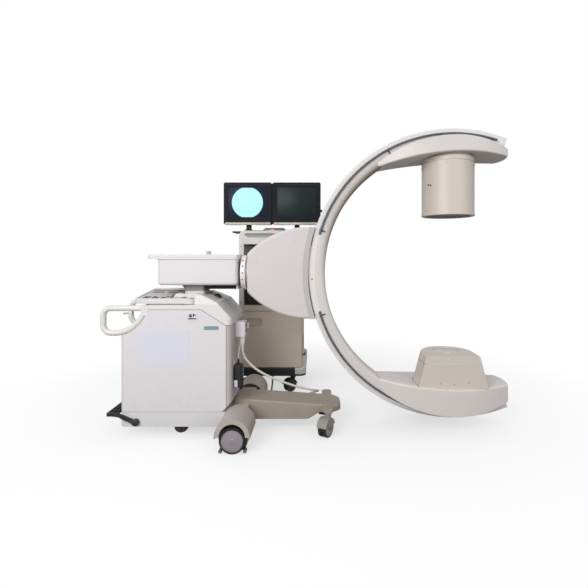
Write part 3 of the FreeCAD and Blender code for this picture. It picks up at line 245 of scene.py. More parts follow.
def screenFace(name, colour, lit=None):
    # dark glass, with an optional lit disc that is cut flat above and below
    material = finish(name, colour, rough=0.3, grain=1600, bump=0.0, shade=0.03, specular=0.12)
    if lit:
        tree = material.node_tree
        place = tree.nodes.new("ShaderNodeTexCoord").outputs["Object"]
        disc, inside = [addGroup(tree, "round", place, Middle=lit["middle"], Axis=alongY,
                                 Radius=lit["radius"] * share)["Mask"] for share in (1.0, 0.93)]
        tone = addGroup(tree, "finish", place, Grain=60.0, Cloud=16.0)["Tone"]
        picture = mixColour(tree, tone, lit["colour"], lit["shade"])
        picture = mixColour(tree, inside, lit["shade"], picture)
        cut = addGroup(tree, "box", place, Middle=lit["middle"], Half=(0.3, 3.0, lit["high"]))["Mask"]
        shown = mixColour(tree, scalarStep(tree, "MULTIPLY", disc, cut), lit["dark"], picture)
        shader = tree.nodes["Principled BSDF"].inputs
        feed(tree, shader["Emission Color"], shown)
        shader["Emission Strength"].default_value = 1.0
    return material


wheel = {"x": 223, "z": 62, "middle": tuple(at(223, 0, 62))}
arcMiddle = tuple(at(arc["x"], 0, arc["z"]))
paints = {
    "cover": finish("coverWhite", tint(219, 215, 217), 0.42, 1100, 0.05, 5, 0.03, dust=0.25, reach=0.35),
    "roof": finish("roofWhite", tint(222, 219, 216), 0.40, 1100, 0.05, 6, 0.03),
    "frame": finish("panWhite", tint(214, 212, 213), 0.5, 900, 0.05, 6, 0.03, dust=0.15, reach=0.12),
    "chassis": finish("chassisTaupe", tint(182, 171, 165), 0.5, 700, 0.12, 9, 0.07, dust=0.5, reach=0.2),
    "leg": finish("legTaupe", tint(162, 151, 138), 0.48, 700, 0.12, 9, 0.08, dust=0.55, reach=0.2),
    # painted shade on the arc's flank: inside the handrail a little darker, and much darker towards the inner
    # edge, most on the upper side
    "arcWhite": finish("arcWhite", tint(225, 222, 220), 0.5, 900, 0.0, 4, 0.03, zones=(
        ("round", {"Middle": arcMiddle, "Axis": alongY, "Radius": mm(735)}, tint(214, 209, 205)),
        ("paintedShade", {"Middle": arcMiddle, "Inner": 0.676, "Outer": 0.728, "Least": 0.08},
         tint(134, 122, 112)),), flat=True),
    "housing": finish("housingWhite", tint(216, 210, 206), 0.4, 1200, 0.02, 4, 0.03, flat=True),
    "fan": finish("carriageWhite", tint(209, 204, 202), 0.42, 1200, 0.04, 4, 0.03, zones=(
        ("round", {"Middle": arcMiddle, "Axis": alongY, "Radius": mm(798.5)}, tint(188, 184, 180)),)),
    "tank": finish("tankBeige", tint(210, 200, 190), 0.4, 1200, 0.04, 4, 0.035),
    "rail": finish("railSteel", tint(150, 150, 152), 0.4, 300, 0.0, 30, 0.05, metallic=1.0),
    "grip": finish("gripSteel", tint(96, 98, 106), 0.5, 300, 0.0, 30, 0.05, metallic=0.3),
    "column": finish("columnWhite", tint(214, 213, 210), 0.4, 1000, 0.04, 6, 0.03),
    "cast": finish("castGrey", tint(140, 137, 132), 0.5, 500, 0.1, 14, 0.05),
    "pale": finish("paleGrey", tint(186, 183, 178), 0.45, 900, 0.05, 9, 0.04),
    "castor": finish("castorTaupe", tint(150, 146, 140), 0.5, 800, 0.08, 9, 0.06, dust=0.3, reach=0.12),
    # painted shade: the front panel is painted darker than the cover, for the shade on its side that faces away
    # from the lamps
    "front": finish("frontShellPaintedShade", tint(188, 182, 178), 0.45, 1100, 0.05, 5, 0.05, dust=0.2, reach=0.3),
    "seam": finish("seamGrey", tint(164, 160, 156), 0.5, 900, 0.02, 9, 0.04),
    "flange": finish("flangeWhite", tint(236, 233, 230), 0.42, 500, 0.03, 14, 0.04),
    "rubber": finish("softRubber", tint(34, 34, 36), 0.75, 800, 0.2, 12, 0.1, dust=0.35, reach=0.12,
                     specular=0.3),
    "black": finish("grainedBlack", tint(30, 30, 33), 0.5, 1400, 0.15, 10, 0.08, dust=0.3, reach=0.15),
    "pan": finish("keyPanel", tint(216, 213, 210), 0.38, 1200, 0.04, 8, 0.02),
    "knob": finish("knobGrey", tint(92, 92, 96), 0.45, 900, 0.1, 12, 0.06),
    "sheath": finish("cableSheath", tint(218, 213, 203), 0.5, 700, 0.08, 16, 0.06),
    "panelBrown": finish("trolleyEnamel", tint(212, 198, 184), 0.46, 650, 0.16, 8, 0.05),
    "post": finish("trolleyFrameWhite", tint(216, 212, 206), 0.44, 900, 0.06, 8, 0.04, zones=(
        ("box", {"Middle": tuple(at(310.5, 800, 720)), "Half": (mm(175), mm(280), mm(151))},
         tint(36, 36, 38)),)),
    "bumper": finish("bumperGrey", tint(40, 39, 40), 0.5, 800, 0.1, 8, 0.06, zones=(
        ("box", {"Middle": tuple(at(517, 800, 154)), "Half": (mm(43), 0.4, mm(24))}, tint(206, 202, 196)),)),
    "screenCase": finish("screenCase", tint(22, 23, 29), 0.55, 1500, 0.06, 9, 0.06, specular=0.18),
    "cream": finish("creamChin", tint(206, 200, 186), 0.45, 1400, 0.06, 9, 0.04),
    "keyBlue": finish("keyBlue", tint(42, 54, 92), 0.4, 1200, 0.05, 9, 0.05),
    "keyGrey": finish("keyGrey", tint(150, 152, 156), 0.4, 1200, 0.05, 9, 0.05),
    "amber": finish("amberLens", tint(206, 92, 44), 0.2, 900, 0.02, 9, 0.05, coat=0.4),
    "gapDark": finish("gapDark", tint(44, 42, 44), 0.6, 900, 0.05, 9, 0.05),
    "screw": finish("screwSteel", tint(120, 118, 116), 0.35, 600, 0.05, 20, 0.08, metallic=1.0),
    "deflector": finish("deflectorBrown", tint(112, 92, 72), 0.6, 800, 0.1, 12, 0.08, dust=0.5, reach=0.1),
    "window": finish("windowDark", tint(58, 54, 52), 0.3, 1500, 0.03, 6, 0.05, coat=0.3),
    "card": finish("blankCard", tint(214, 215, 225), 0.3, 900, 0.02, 9, 0.02, coat=0.3),
    "wheelCap": finish("wheelCapMauve", tint(146, 140, 147), 0.42, 900, 0.06, 9, 0.05, dust=0.3, reach=0.12),
    "plate": finish("blankPlate", tint(120, 150, 156), 0.35, 900, 0.03, 9, 0.04),
}


def tyre(name, middle, axis, hub, colour):
    return finish(name, tint(33, 33, 35), 0.7, 900, 0.18, 12, 0.1, dust=0.5, reach=0.09, specular=0.3, zones=(
        ("round", {"Middle": middle, "Axis": axis, "Radius": hub}, colour),))


slotPaint = {
    "cover_white": "cover", "cover_pale": "frame", "chassis_taupe": "chassis", "leg_taupe": "leg",
    "arc_white": "arcWhite", "housing_white": "housing", "tank_beige": "tank", "rail_steel": "rail",
    "grip_steel": "grip", "column_white": "column", "cast_grey": "cast", "rubber_black": "rubber",
    "castor_grey": "black", "black_plastic": "black", "key_panel": "pan", "cable_pale": "sheath",
    "trolley_panel": "panelBrown", "trolley_frame": "post", "trolley_base": "bumper",
}
ownPaint = {
    "arc_carriage": "fan", "top_cover": "roof", "handles": "roof", "rotary_flange": "flange",
    "slide_lock_knob": "pale", "front_panel": "front", "brake_lever": "pale",
    "front_near_fork": "castor", "front_far_fork": "castor", "monitor_left": "screenCase",
    "monitor_right": "screenCase",
}
castorKinds = {
    "front": {"radius": 46, "turn": 60, "half": 22, "hub": tint(168, 165, 163)},
    "rear": {"radius": 36, "turn": 20, "half": 15, "hub": tint(60, 60, 62)},
    "trolley": {"radius": 42, "turn": 35, "half": 17, "hub": tint(60, 60, 62)},
}
castorSpots = {
    "front_near": (672, -150), "front_far": (672, 150), "rear_near": (-70, -104), "rear_far": (-70, 104),
    "trolley_left_near": (164, 562), "trolley_right_near": (457, 562),
    "trolley_left_far": (164, 1038), "trolley_right_far": (457, 1038),
}


def castorPlace(castor):
    # its kind, the wheel's middle, the way it trails and the way its axle lies
    kind = castorKinds[castor.split("_")[0]]
    turn = math.radians(kind["turn"])
    out = Vector((-math.cos(turn), -math.sin(turn), 0))
    middle = Vector((*castorSpots[castor], kind["radius"])) + out * kind["radius"] * 0.55
    return kind, middle, out, Vector((-math.sin(turn), math.cos(turn), 0))


def wheelFacts():
    facts = {"main_wheel_" + name: (wheel["middle"], alongY, mm(50), tint(146, 140, 146)) for name, side in sides}
    for castor in castorSpots:
        kind, middle, out, axle = castorPlace(castor)
        facts[castor + "_wheel"] = (tuple(at(*middle)), tuple(axle), mm(kind["radius"] * 0.8), kind["hub"])
    return facts


def dressNodes():
    wheels = wheelFacts()
    for part in frame["record"]["subparts"]:
        node = part["node"]
        if node in wheels:
            material = tyre("tyre_" + node, *wheels[node])
        else:
            material = paints[ownPaint.get(node) or slotPaint[part["material_slot"]]]
        slots = frame["nodes"][node].data.materials
        slots.clear()
        slots.append(material)


dressNodes()
print("CAD nodes dressed", len(frame["nodes"]))


# Mesh helpers

def addObject(name, data):
    thing = bpy.data.objects.new(name, data)
    bpy.context.scene.collection.objects.link(thing)
    return thing


def putPiece(name, mesh, paint, body, bevel=None):
    bmesh.ops.remove_doubles(mesh, verts=mesh.verts, dist=1e-6)
    bmesh.ops.recalc_face_normals(mesh, faces=mesh.faces)
    data = bpy.data.meshes.new(name)
    mesh.to_mesh(data)
    mesh.free()
    thing = addObject(name, data)
    data.materials.append(paints[paint] if isinstance(paint, str) else paint)
    for face in data.polygons:
        face.use_smooth = True
    data.set_sharp_from_angle(angle=math.radians(32))
    if bevel:
        edge = thing.modifiers.new("softEdge", "BEVEL")
        edge.width = mm(bevel)
        edge.segments = 2
        edge.limit_method = "ANGLE"
    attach(thing, body)


def block(mesh, low, high):
    # a box between two corners in build millimetres
    a, b = at(*low), at(*high)
    move = Matrix.Translation((a + b) / 2) @ Matrix.Diagonal((*(b - a), 1.0))
    return bmesh.ops.create_cube(mesh, size=1.0, matrix=move)["verts"]


def turnTo(axis):
    return Vector((0, 0, 1)).rotation_difference(Vector(axis)).to_matrix().to_4x4()


def rod(mesh, middle, axis, radius, depth, radius2=None, segments=32):
    # a round bar or cone standing from middle along axis
    move = Matrix.Translation(at(*middle)) @ turnTo(axis) @ Matrix.Translation((0, 0, mm(depth) / 2))
    return bmesh.ops.create_cone(mesh, cap_ends=True, segments=segments, radius1=mm(radius),
                                 radius2=mm(radius if radius2 is None else radius2), depth=mm(depth),
                                 matrix=move)["verts"]


def bevelRims(mesh, verts, width, segments=2):
    chosen = set(verts)
    edges = [e for e in mesh.edges if e.verts[0] in chosen and e.verts[1] in chosen
             and len(e.link_faces) == 2 and e.calc_face_angle(0) > 0.9]
    bmesh.ops.bevel(mesh, geom=edges, offset=mm(width), segments=segments, profile=0.5, affect="EDGES",
                    material=-1, clamp_overlap=True)


def softBlock(mesh, low, high, width, segments=2):
    bevelRims(mesh, block(mesh, low, high), width, segments)


def softRod(mesh, middle, axis, radius, depth, width, cuts, **more):
    bevelRims(mesh, rod(mesh, middle, axis, radius, depth, **more), width, cuts)


def taper(verts, x, share, top):
    # the upper or lower corners drawn in towards the plane at x
    middle = at(x, 0, 0).x
    level = (max if top else min)(vert.co.z for vert in verts)
    for vert in verts:
        if abs(vert.co.z - level) < 1e-6:
            vert.co.x = middle + (vert.co.x - middle) * share


def lathe(mesh, profile, middle, axis, steps):
    # profile: (radius, height) pairs in millimetres, turned about the axis through middle
    centre = at(*middle)
    move = Matrix.Translation(centre) @ turnTo(axis)
    verts = [mesh.verts.new(move @ Vector((mm(r), 0, mm(h)))) for r, h in profile]
    edges = [mesh.edges.new((a, b)) for a, b in zip(verts, verts[1:])]
    bmesh.ops.spin(mesh, geom=verts + edges, cent=centre, axis=Vector(axis), angle=math.tau, steps=steps,
                   use_merge=True, use_duplicate=False)
    bmesh.ops.remove_doubles(mesh, verts=mesh.verts, dist=1e-6)


def putBlock(name, low, high, paint, body, soft=None, segments=2):
    mesh = bmesh.new()
    verts = block(mesh, low, high)
    if soft:
        bevelRims(mesh, verts, soft, segments)
    putPiece(name, mesh, paint, body)


def putTurned(name, profile, middle, axis, steps, paint, body):
    mesh = bmesh.new()
    lathe(mesh, profile, middle, axis, steps)
    putPiece(name, mesh, paint, body)


def putScrews(name, places, axis, radius, body, paint="screw"):
    # domed screw heads with a recess ring, standing on their surface
    head = ((0, 0.45), (0.3, 0.45), (0.36, 0.2), (0.5, 0.2), (0.58, 0.5), (0.85, 0.4), (1, 0.05), (1, -0.3))
    heads = bmesh.new()
    for place in places:
        lathe(heads, [(radius * r, radius * h) for r, h in head], place, axis, 18)
    putPiece(name, heads, paint, body)


# Camera, light and floor

white = (1.0, 1.0, 1.0, 1.0)
lamps = {
    "key": {"place": (-1.7, -3.6, 2.2), "aim": (0.0, -0.2, 0.7), "size": 2.6, "power": 104},
    "fill": {"place": (2.6, -2.8, 2.0), "aim": (0.3, -0.2, 0.7), "size": 2.4, "power": 26},
    "top": {"place": (0.3, 0.6, 3.6), "aim": (0.1, -0.1, 0.6), "size": 3.0, "power": 20},
}


def makeCamera():
    data = bpy.data.cameras.new("camera")
    data.lens = 26.0
    data.sensor_width = 36.0
    data.shift_x = -0.034
    data.shift_y = -0.0646
    data.clip_end = 50.0
    camera = addObject("camera", data)
    camera.location = (0.02375, -2.684, 0.913)
    camera.rotation_euler = (math.radians(90), 0, 0)
    bpy.context.scene.camera = camera


def makeWorld():
    world = bpy.data.worlds.new("studio")
    bpy.context.scene.world = world
    world.use_nodes = True
    tree = world.node_tree
    tree.nodes.clear()
    rays = tree.nodes.new("ShaderNodeLightPath").outputs
    mix = tree.nodes.new("ShaderNodeMixShader")
    seen = scalarStep(tree, "MAXIMUM", rays["Is Camera Ray"], rays["Is Transmission Ray"])
    feed(tree, mix.inputs["Fac"], seen)
    for place, colour, strength in ((1, (0.96, 0.97, 1.0, 1.0), 0.5), (2, white, 1.0)):
        light = tree.nodes.new("ShaderNodeBackground")
        light.inputs["Color"].default_value = colour
        light.inputs["Strength"].default_value = strength
        feed(tree, mix.inputs[place], light.outputs[0])
    feed(tree, tree.nodes.new("ShaderNodeOutputWorld").inputs["Surface"], mix.outputs[0])


def makeLamps():
    for name, facts in lamps.items():
        data = bpy.data.lights.new(name, "AREA")
        data.shape = "DISK"
        data.size = facts["size"]
        data.energy = facts["power"]
        lamp = addObject(name, data)
        lamp.location = facts["place"]
        way = Vector(facts["aim"]) - Vector(facts["place"])
        lamp.rotation_euler = way.to_track_quat("-Z", "Y").to_euler()


def makeFloor():
    mesh = bmesh.new()
    bmesh.ops.create_grid(mesh, x_segments=1, y_segments=1, size=14.0)
    data = bpy.data.meshes.new("floor")
    mesh.to_mesh(data)
    mesh.free()
    floor = addObject("floor", data)
    floor.location = (0, 0, -0.0005)
    material = bpy.data.materials.new("floorWhite")
    material.use_nodes = True
    tree = material.node_tree
    shader = tree.nodes["Principled BSDF"]
    shader.inputs["Roughness"].default_value = 0.9
    shader.inputs["Specular IOR Level"].default_value = 0.2
    seen = tree.nodes.new("ShaderNodeLightPath").outputs["Is Camera Ray"]
    tone = mixColour(tree, seen, (0.31, 0.3, 0.29, 1.0), (0.92, 0.92, 0.92, 1.0))
    feed(tree, shader.inputs["Base Color"], tone)
    plain = tree.nodes.new("ShaderNodeEmission")
    plain.inputs["Color"].default_value = white
    plain.inputs["Strength"].default_value = 1.0
    # the floor turns to plain white away from the part, so only its soft shadow shows
    away = lengthOf(tree, tree.nodes.new("ShaderNodeTexCoord").outputs["Object"])
    share = scalarStep(tree, "MULTIPLY", seen, ranged(tree, away, 0.7, 2.1, 0.6, 1.0))
    mix = tree.nodes.new("ShaderNodeMixShader")
    for place, value in enumerate((share, shader.outputs[0], plain.outputs[0])):
        feed(tree, mix.inputs[place], value)
    feed(tree, tree.nodes["Material Output"].inputs["Surface"], mix.outputs[0])
    data.materials.append(material)


makeCamera()
makeWorld()
makeLamps()
makeFloor()
bpy.context.scene.view_settings.view_transform = "Standard"
print("camera, lamps and floor set")


# Cords

monitorCable = {
    "diameter": 12.0,
    "length": 1.3374,
    "points": [
        (222, -74, 413.4), (228, -73, 385), (248, -67, 353), (282, -57, 317), (324, -45, 285), (370, -30, 258),
        (420, -13, 233), (472, 6, 209), (518, 28, 188), (560, 50, 172), (600, 74, 157), (622, 110, 144),
        (625, 151, 130), (608, 190, 113), (573, 217, 92), (534, 240, 66), (500, 262, 40), (472, 290, 18),
        (446, 322, 6.2), (410, 358, 6.2), (372, 400, 6.2), (343, 450, 6.2), (322, 502, 6.2),
        (312, 556, 6.2), (310, 608, 6.2), (310, 654, 33.0), (310, 681, 79.4), (310, 681, 118),
    ],
}


def layCord(name, facts, replaced=None, **manner):
    curve = bpy.data.curves.new(name, "CURVE")
    curve.dimensions = "3D"
    line = curve.splines.new("NURBS")
    line.points.add(len(facts["points"]) - 1)
    for point, place in zip(line.points, facts["points"]):
        point.co = (*at(*place), 1.0)
    line.order_u = 3
    line.use_endpoint_u = True
    line.resolution_u = 8
    curve.bevel_depth = mm(facts["diameter"]) / 2
    curve.bevel_resolution = 5
    curve.use_fill_caps = True
    curve.materials.append(paints["sheath"])
    thing = addObject(name, curve)
    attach(thing, "root")
    if replaced:
        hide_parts(replaced)


layCord("monitorCable", monitorCable, "monitor_cable", stiffness="medium", lay="loose")
print("cable laid")


# Control panel

keys = {
    "tilt": 6.5, "floor": 685.0, "thick": 23.0, "sunk": 0.6, "key": (15.0, 11.0, 2.4),
    "groups": (-282.0, -236.0, -186.0, -136.0, -92.0), "rows": (-116.0, -100.0, -84.0),
    "endKeys": {"first": -96.0, "pitch": 22.0, "count": 4},
    "displays": ((-290.0, -232.0, 26.0, 50.0), (-205.0, -134.0, 26.0, 50.0), (-300.0, -140.0, 84.0, 104.0)),
    "rim": {"left": -314.0, "right": -34.0, "half": 144.0, "corner": 20.0, "steps": 7},
    "rimShape": ((-5, -1), (-5, 2), (-2, 4.5), (2, 4.5), (5, 2), (5, -1)),
}


def onPanel(x, y, lift=0.0):
    # a place on the key panel's tilted top, and its turn
    turn = math.radians(keys["tilt"])
    height = keys["thick"] + lift
    spot = at(x, y * math.cos(turn) - height * math.sin(turn),
              keys["floor"] + y * math.sin(turn) + height * math.cos(turn))
    return Matrix.Translation(spot) @ Matrix.Rotation(turn, 4, "X")


def panelBlock(mesh, x, y, long, wide, tall):
    size = Matrix.Diagonal((mm(long), mm(wide), mm(tall), 1.0))
    bmesh.ops.create_cube(mesh, size=1.0, matrix=onPanel(x, y, tall / 2 - keys["sunk"]) @ size)


def makeKeys():
    pads, marks = bmesh.new(), bmesh.new()
    long, wide, tall = keys["key"]
    for group, x in enumerate(keys["groups"]):
        for row, y in enumerate(keys["rows"]):
            for column in range(2):
                if (group + row + column) % 5 == 4:
                    continue
                mesh = marks if (group + 2 * row + column) % 3 else pads
                panelBlock(mesh, x + column * (long + 3), y, long, wide, tall)
    ends = keys["endKeys"]
    for step in range(ends["count"]):
        panelBlock(pads, ends["first"] + step * ends["pitch"], 124, 16, 14, tall)
        panelBlock(marks, ends["first"] + step * ends["pitch"], -130, 16, 9, tall)
    putPiece("panelKeysBlue", marks, "keyBlue", "root", bevel=0.8)
    putPiece("panelKeysGrey", pads, "keyGrey", "root", bevel=0.8)


def makeDisplays():
    frames, glass = bmesh.new(), bmesh.new()
    for x0, x1, y0, y1 in keys["displays"]:
        for mesh, past, tall in ((frames, 8, 1.6), (glass, 0, 2.4)):
            panelBlock(mesh, (x0 + x1) / 2, (y0 + y1) / 2, x1 - x0 + past, y1 - y0 + past, tall)
    putPiece("panelBezels", frames, "keyGrey", "root", bevel=0.5)
    putPiece("panelDisplays", glass, "window", "root", bevel=0.3)


def makePanelRim():
    # a raised lip along the panel's near, left and far edges, rounded at the two left corners
    facts, shape = keys["rim"], keys["rimShape"]
    left, right, half, corner = facts["left"], facts["right"], facts["half"], facts["corner"]
    path = [(right, -half, 0.0, -1.0)]
    for side, first in ((-1, 270), (1, 180)):
        for step in range(facts["steps"]):
            angle = math.radians(first - 90 / (facts["steps"] - 1) * step)
            nx, ny = math.cos(angle), math.sin(angle)
            path.append((left + corner + corner * nx, side * (half - corner) + corner * ny, nx, ny))
    path.append((right, half, 0.0, 1.0))
    rim = bmesh.new()
    rings = [[rim.verts.new(onPanel(x + nx * off, y + ny * off, lift).translation) for off, lift in shape]
             for x, y, nx, ny in path]
    for near, far in zip(rings, rings[1:]):
        for k in range(len(shape)):
            rim.faces.new((near[k], near[k - 1], far[k - 1], far[k]))
    rim.faces.new(rings[0])
    rim.faces.new(rings[-1])
    putPiece("panelRim", rim, "pan", "root")
    putBlock("panelShadowGap", (-258, -150.5, 662), (-66, -146, 668.5), "gapDark", "root")


makeKeys()
makeDisplays()
makePanelRim()
print("control panel keyed")


# Monitors

monitor = {
    "front": 732.0, "glassHigh": 219.0, "glassWide": 284.0, "glassLow": 1193.0, "chinTop": 1154.0,
    "trims": ((1422.0, 1425.0), (1160.0, 1162.0)), "buttons": 1146.0,
    "lit": {"x": 121.0, "z": 1298.0, "radius": 111.5, "high": 105.5, "colour": tint(206, 254, 250),
            "shade": tint(176, 252, 253), "dark": (0.006, 0.008, 0.016, 1.0)},
    "vents": {"low": 1246.0, "pitch": 13.0, "high": 5.0, "count": 10, "half": 90.0, "back": (829.0, 830.6)},
}
lampPlace = (319.5, 580.0)


def makeScreens():
    spot = monitor["lit"]
    lit = {**spot, "middle": tuple(at(spot["x"], 0, spot["z"])), "radius": mm(spot["radius"]),
           "high": mm(spot["high"])}
    faces = {"left": screenFace("screenLit", tint(28, 32, 46), lit),
             "right": screenFace("screenDark", tint(38, 48, 50))}
    front, half = monitor["front"], screens["wide"] / 2
    glassHalf = monitor["glassWide"] / 2 - 0.5
    vent = monitor["vents"]
    for name, side in (("left", -1), ("right", 1)):
        middle = screens["mid"] + side * (screens["wide"] + screens["gap"]) / 2
        body = "screen_" + name
        putBlock("screenGlass_" + name, (middle - glassHalf, front + 2.5, monitor["glassLow"] + 0.5),
                 (middle + glassHalf, front + 7, monitor["glassLow"] + monitor["glassHigh"] - 0.5),
                 faces[name], body, soft=1.2)
        rim = bmesh.new()
        for low, high in monitor["trims"]:
            block(rim, (middle - half + 12, front - 1, low), (middle + half - 12, front + 1, high))
        putPiece("screenTrim_" + name, rim, "gapDark", body, bevel=0.4)
        putBlock("screenChin_" + name, (middle - half + 8, front - 3, screens["low"] - 2),
                 (middle + half - 8, front + 20, monitor["chinTop"]), "cream", body,
                 soft=3, segments=3)
        buttons = bmesh.new()
        for k in range(6):
            rod(buttons, (middle + 34 + k * 17, front - 2, monitor["buttons"]), towardsView, 4.2, 3.4, segments=20)
        rod(buttons, (middle - 140, front - 2, monitor["buttons"]), towardsView, 3.0, 2.6, segments=16)
        putPiece("screenButtons_" + name, buttons, "keyGrey", body, bevel=0.5)
        vents = bmesh.new()
        for k in range(vent["count"]):
            z = vent["low"] + k * vent["pitch"]
            block(vents, (middle - vent["half"], vent["back"][0], z),
                  (middle + vent["half"], vent["back"][1], z + vent["high"]))
        putPiece("screenVents_" + name, vents, "gapDark", body, bevel=0.6)
    putBlock("screenJoint", (screens["mid"] - screens["gap"] / 2, 750, screens["low"] + 4),
             (screens["mid"] + screens["gap"] / 2 - 0.8, 770, screens["low"] + screens["high"] - 4),
             "gapDark", "screen_left")
    right = screens["mid"] + screens["wide"] + screens["gap"] / 2
    putTurned("screenKnob", ((0, 12), (7, 12), (9, 10), (10, 4), (8, 0), (0, 0)), (right - 1, 768, 1240),
              alongX, 24, "black", "screen_right")


def makeLamp():
    putTurned("lampLens", ((17, 0), (17, 8), (15, 13), (9, 16), (0, 17)), (*lampPlace, 1089), alongZ, 32,
              "amber", "root")
    putTurned("lampCollar", ((25, 0), (25, 4), (21, 9), (16, 9)), (*lampPlace, 1081), alongZ, 32,
              "cream", "root")


def makeStandCover():
    # the tapered cover between the two stands, on the trolley's top board
    cover = bmesh.new()
    verts = block(cover, (216, 700, 1081), (424, 850, 1113))
    taper(verts, 320, 0.62, top=True)
    bevelRims(cover, verts, 4, 3)
    putPiece("standCover", cover, "knob", "root")


makeScreens()
makeLamp()
makeStandCover()
print("monitors lit")


# Cabinet fittings

sheets = {
    "blankCard": {"x": (-288.0, -29.0), "z": (359.0, 540.0), "thick": 0.8, "bevel": 0.4,
                  "looks": ("card", "cover_white")},
    "blankBadge": {"x": (46.0, 119.0), "z": (541.0, 559.0), "thick": 1.5, "bevel": 0.4,
                   "looks": ("plate", "knob_grey")},
    "lockPlate": {"x": (-40.0, 13.0), "z": (591.0, 626.0), "thick": 2.2, "bevel": 0.8,
                  "looks": ("cover", "cover_white")},
}
lockSlots = (((-34, -2.8, 594), (6, -1.8, 600)), ((-10, -3.4, 607), (-4, -1.8, 622)),
             ((-4, -3.4, 614), (6, -1.8, 618)))


def makeFaceFittings():
    for name, facts in sheets.items():
        (x0, x1), (z0, z1) = facts["x"], facts["z"]
        sheet = bmesh.new()
        verts = block(sheet, (x0, coverFace - facts["thick"], z0), (x1, coverFace + 0.5, z1))
        through = [e for e in sheet.edges
                   if e.verts[0] in verts and abs((e.verts[0].co - e.verts[1].co).y) > 1e-6]
        bmesh.ops.bevel(sheet, geom=through, offset=mm(3), segments=4, profile=0.5, affect="EDGES", material=-1)
        paint, slotName = facts["looks"]
        putPiece(name, sheet, paint, "root", bevel=facts["bevel"])
    slots = bmesh.new()
    for low, high in lockSlots:
        block(slots, (low[0], coverFace + low[1], low[2]), (high[0], coverFace + high[1], high[2]))
    putPiece("lockSlots", slots, "gapDark", "root", bevel=0.4)
    putTurned("lockBarrel", ((0, 7), (5, 7), (7, 5), (8, 0)), (-22, coverFace - 2, 612), towardsView, 24,
              "screw", "root")
    putTurned("roofStop", ((0, 15), (9, 14.5), (16, 11), (20, 5), (20.5, 0), (20.5, -6)), (74, 0, 692),
              (0.4, 0, 0.92), 36, "gapDark", "root")


makeFaceFittings()


# Sockets, plugs and hand switch

socketBlock = {"x": 239.0, "y": -60.0, "rows": (548, 520), "screws": (496, 560)}
relief = {"x": 222, "y": -74, "nut": 470, "top": 448, "pitch": 7, "radius": 8.6, "shrink": 0.35, "rings": 5}
handSwitch = {"x": 230.3, "y": -112.0}


def makeConnectors():
    x, y = socketBlock["x"], socketBlock["y"]
    frames, holes = bmesh.new(), bmesh.new()
    for z in socketBlock["rows"]:
        softBlock(frames, (x - 1, y - 26, z - 10), (x + 2.4, y + 6, z + 10), 1.2)
        block(holes, (x + 1.4, y - 21, z - 6), (x + 3, y + 1, z + 6))
    putPiece("socketFrames", frames, "keyGrey", "root")
    putPiece("socketHoles", holes, "gapDark", "root", bevel=0.4)
    putBlock("smallPlug", (x - 1, y + 12, 525), (x + 12, y + 30, 556), "cover", "root",
             soft=3, segments=3)
    rings = bmesh.new()
    for k in range(relief["rings"]):
        r = relief["radius"] - k * relief["shrink"]
        lathe(rings, ((r - 1.2, 0), (r + 0.6, 0.6), (r + 0.6, 3.4), (r - 1.2, 4)),
              (relief["x"], relief["y"], relief["top"] - k * relief["pitch"]), alongZ, 28)
    putPiece("reliefRings", rings, "sheath", "root")
    nut = bmesh.new()
    softRod(nut, (relief["x"], relief["y"], relief["nut"]), alongZ, 14.6, 12, 1.2, 2, segments=6)
    putPiece("plugNut", nut, "cover", "root")
    putScrews("blockScrews", [(x, y + s * 29, z) for s in (-1, 1) for z in socketBlock["screws"]], alongX,
              3.0, "root")


def makeHandSwitch():
    x, y = handSwitch["x"], handSwitch["y"]
    pads = bmesh.new()
    for radius, z in ((9, 322), (8, 300)):
        softRod(pads, (x - 1, y, z), alongX, radius, 4, 1.4, 3, segments=28)
    putPiece("switchButtons", pads, "keyGrey", "root")
    putBlock("switchTag", (188, y - 25.2, 238), (206, y - 23.4, 274), "card", "root", soft=0.5)
    grips = bmesh.new()
    for k in range(6):
        block(grips, (x - 0.8, y - 14, 248 + k * 8), (x + 1.2, y + 14, 251.4 + k * 8))
    putPiece("switchGrip", grips, "rubber", "root", bevel=0.7)
    putTurned("switchBoot", ((7, 0), (7, 6), (5.4, 10), (5.0, 24), (3.8, 30), (2.6, 30)), (207, y, 350),
              alongZ, 24, "rubber", "root")
    putBlock("switchHanger", (183.5, -128, 330), (188, -96, 372), "cover", "root", soft=1.5)


switchLead = {
    "diameter": 5.0, "length": 0.128,
    "points": [(207, -112, 378), (207, -110, 392), (208, -106, 410), (211, -98, 432), (214, -91, 452),
               (216, -86, 472), (216, -84, 489.5)],
}

makeConnectors()
makeHandSwitch()
layCord("switchLead", switchLead, stiffness="limp", lay="hanging")
print("sockets fitted, hand switch hung")


# Wheels and floor fittings

cap = {"out": 368, "profile": ((0, 7.5), (10, 7.5), (12, 6), (16, 5.4), (40, 3.8), (52, 1.8), (56, -1), (56, -4))}
tread = {"out": 340, "pitch": 10, "count": 3, "profile": ((60.6, 0), (62.1, 0.5), (62.1, 4.5), (60.6, 5))}
deflector = {"y": (330, 366), "x": (50, 64), "z": (4, 17)}
guard = {"y": (250, 334), "half": 66, "z": (5, 64), "foot": 0.82}
castorBrake = {"gap": 5.5, "high": 0.5, "tilt": -24, "long": 18, "wide": 1.3, "thick": 5}


def makeWheelCaps():
    x, z = wheel["x"], wheel["z"]
    for name, side in sides:
        along = (0, side, 0)
        putTurned("wheelCap_" + name, cap["profile"], (x, side * cap["out"], z), along, 48,
                  "wheelCap", "wheel_" + name)
        treads = bmesh.new()
        for k in range(tread["count"]):
            lathe(treads, tread["profile"], (x, side * (tread["out"] + tread["pitch"] * k), z), along, 60)
        putPiece("wheelTread_" + name, treads, "rubber", "wheel_" + name)


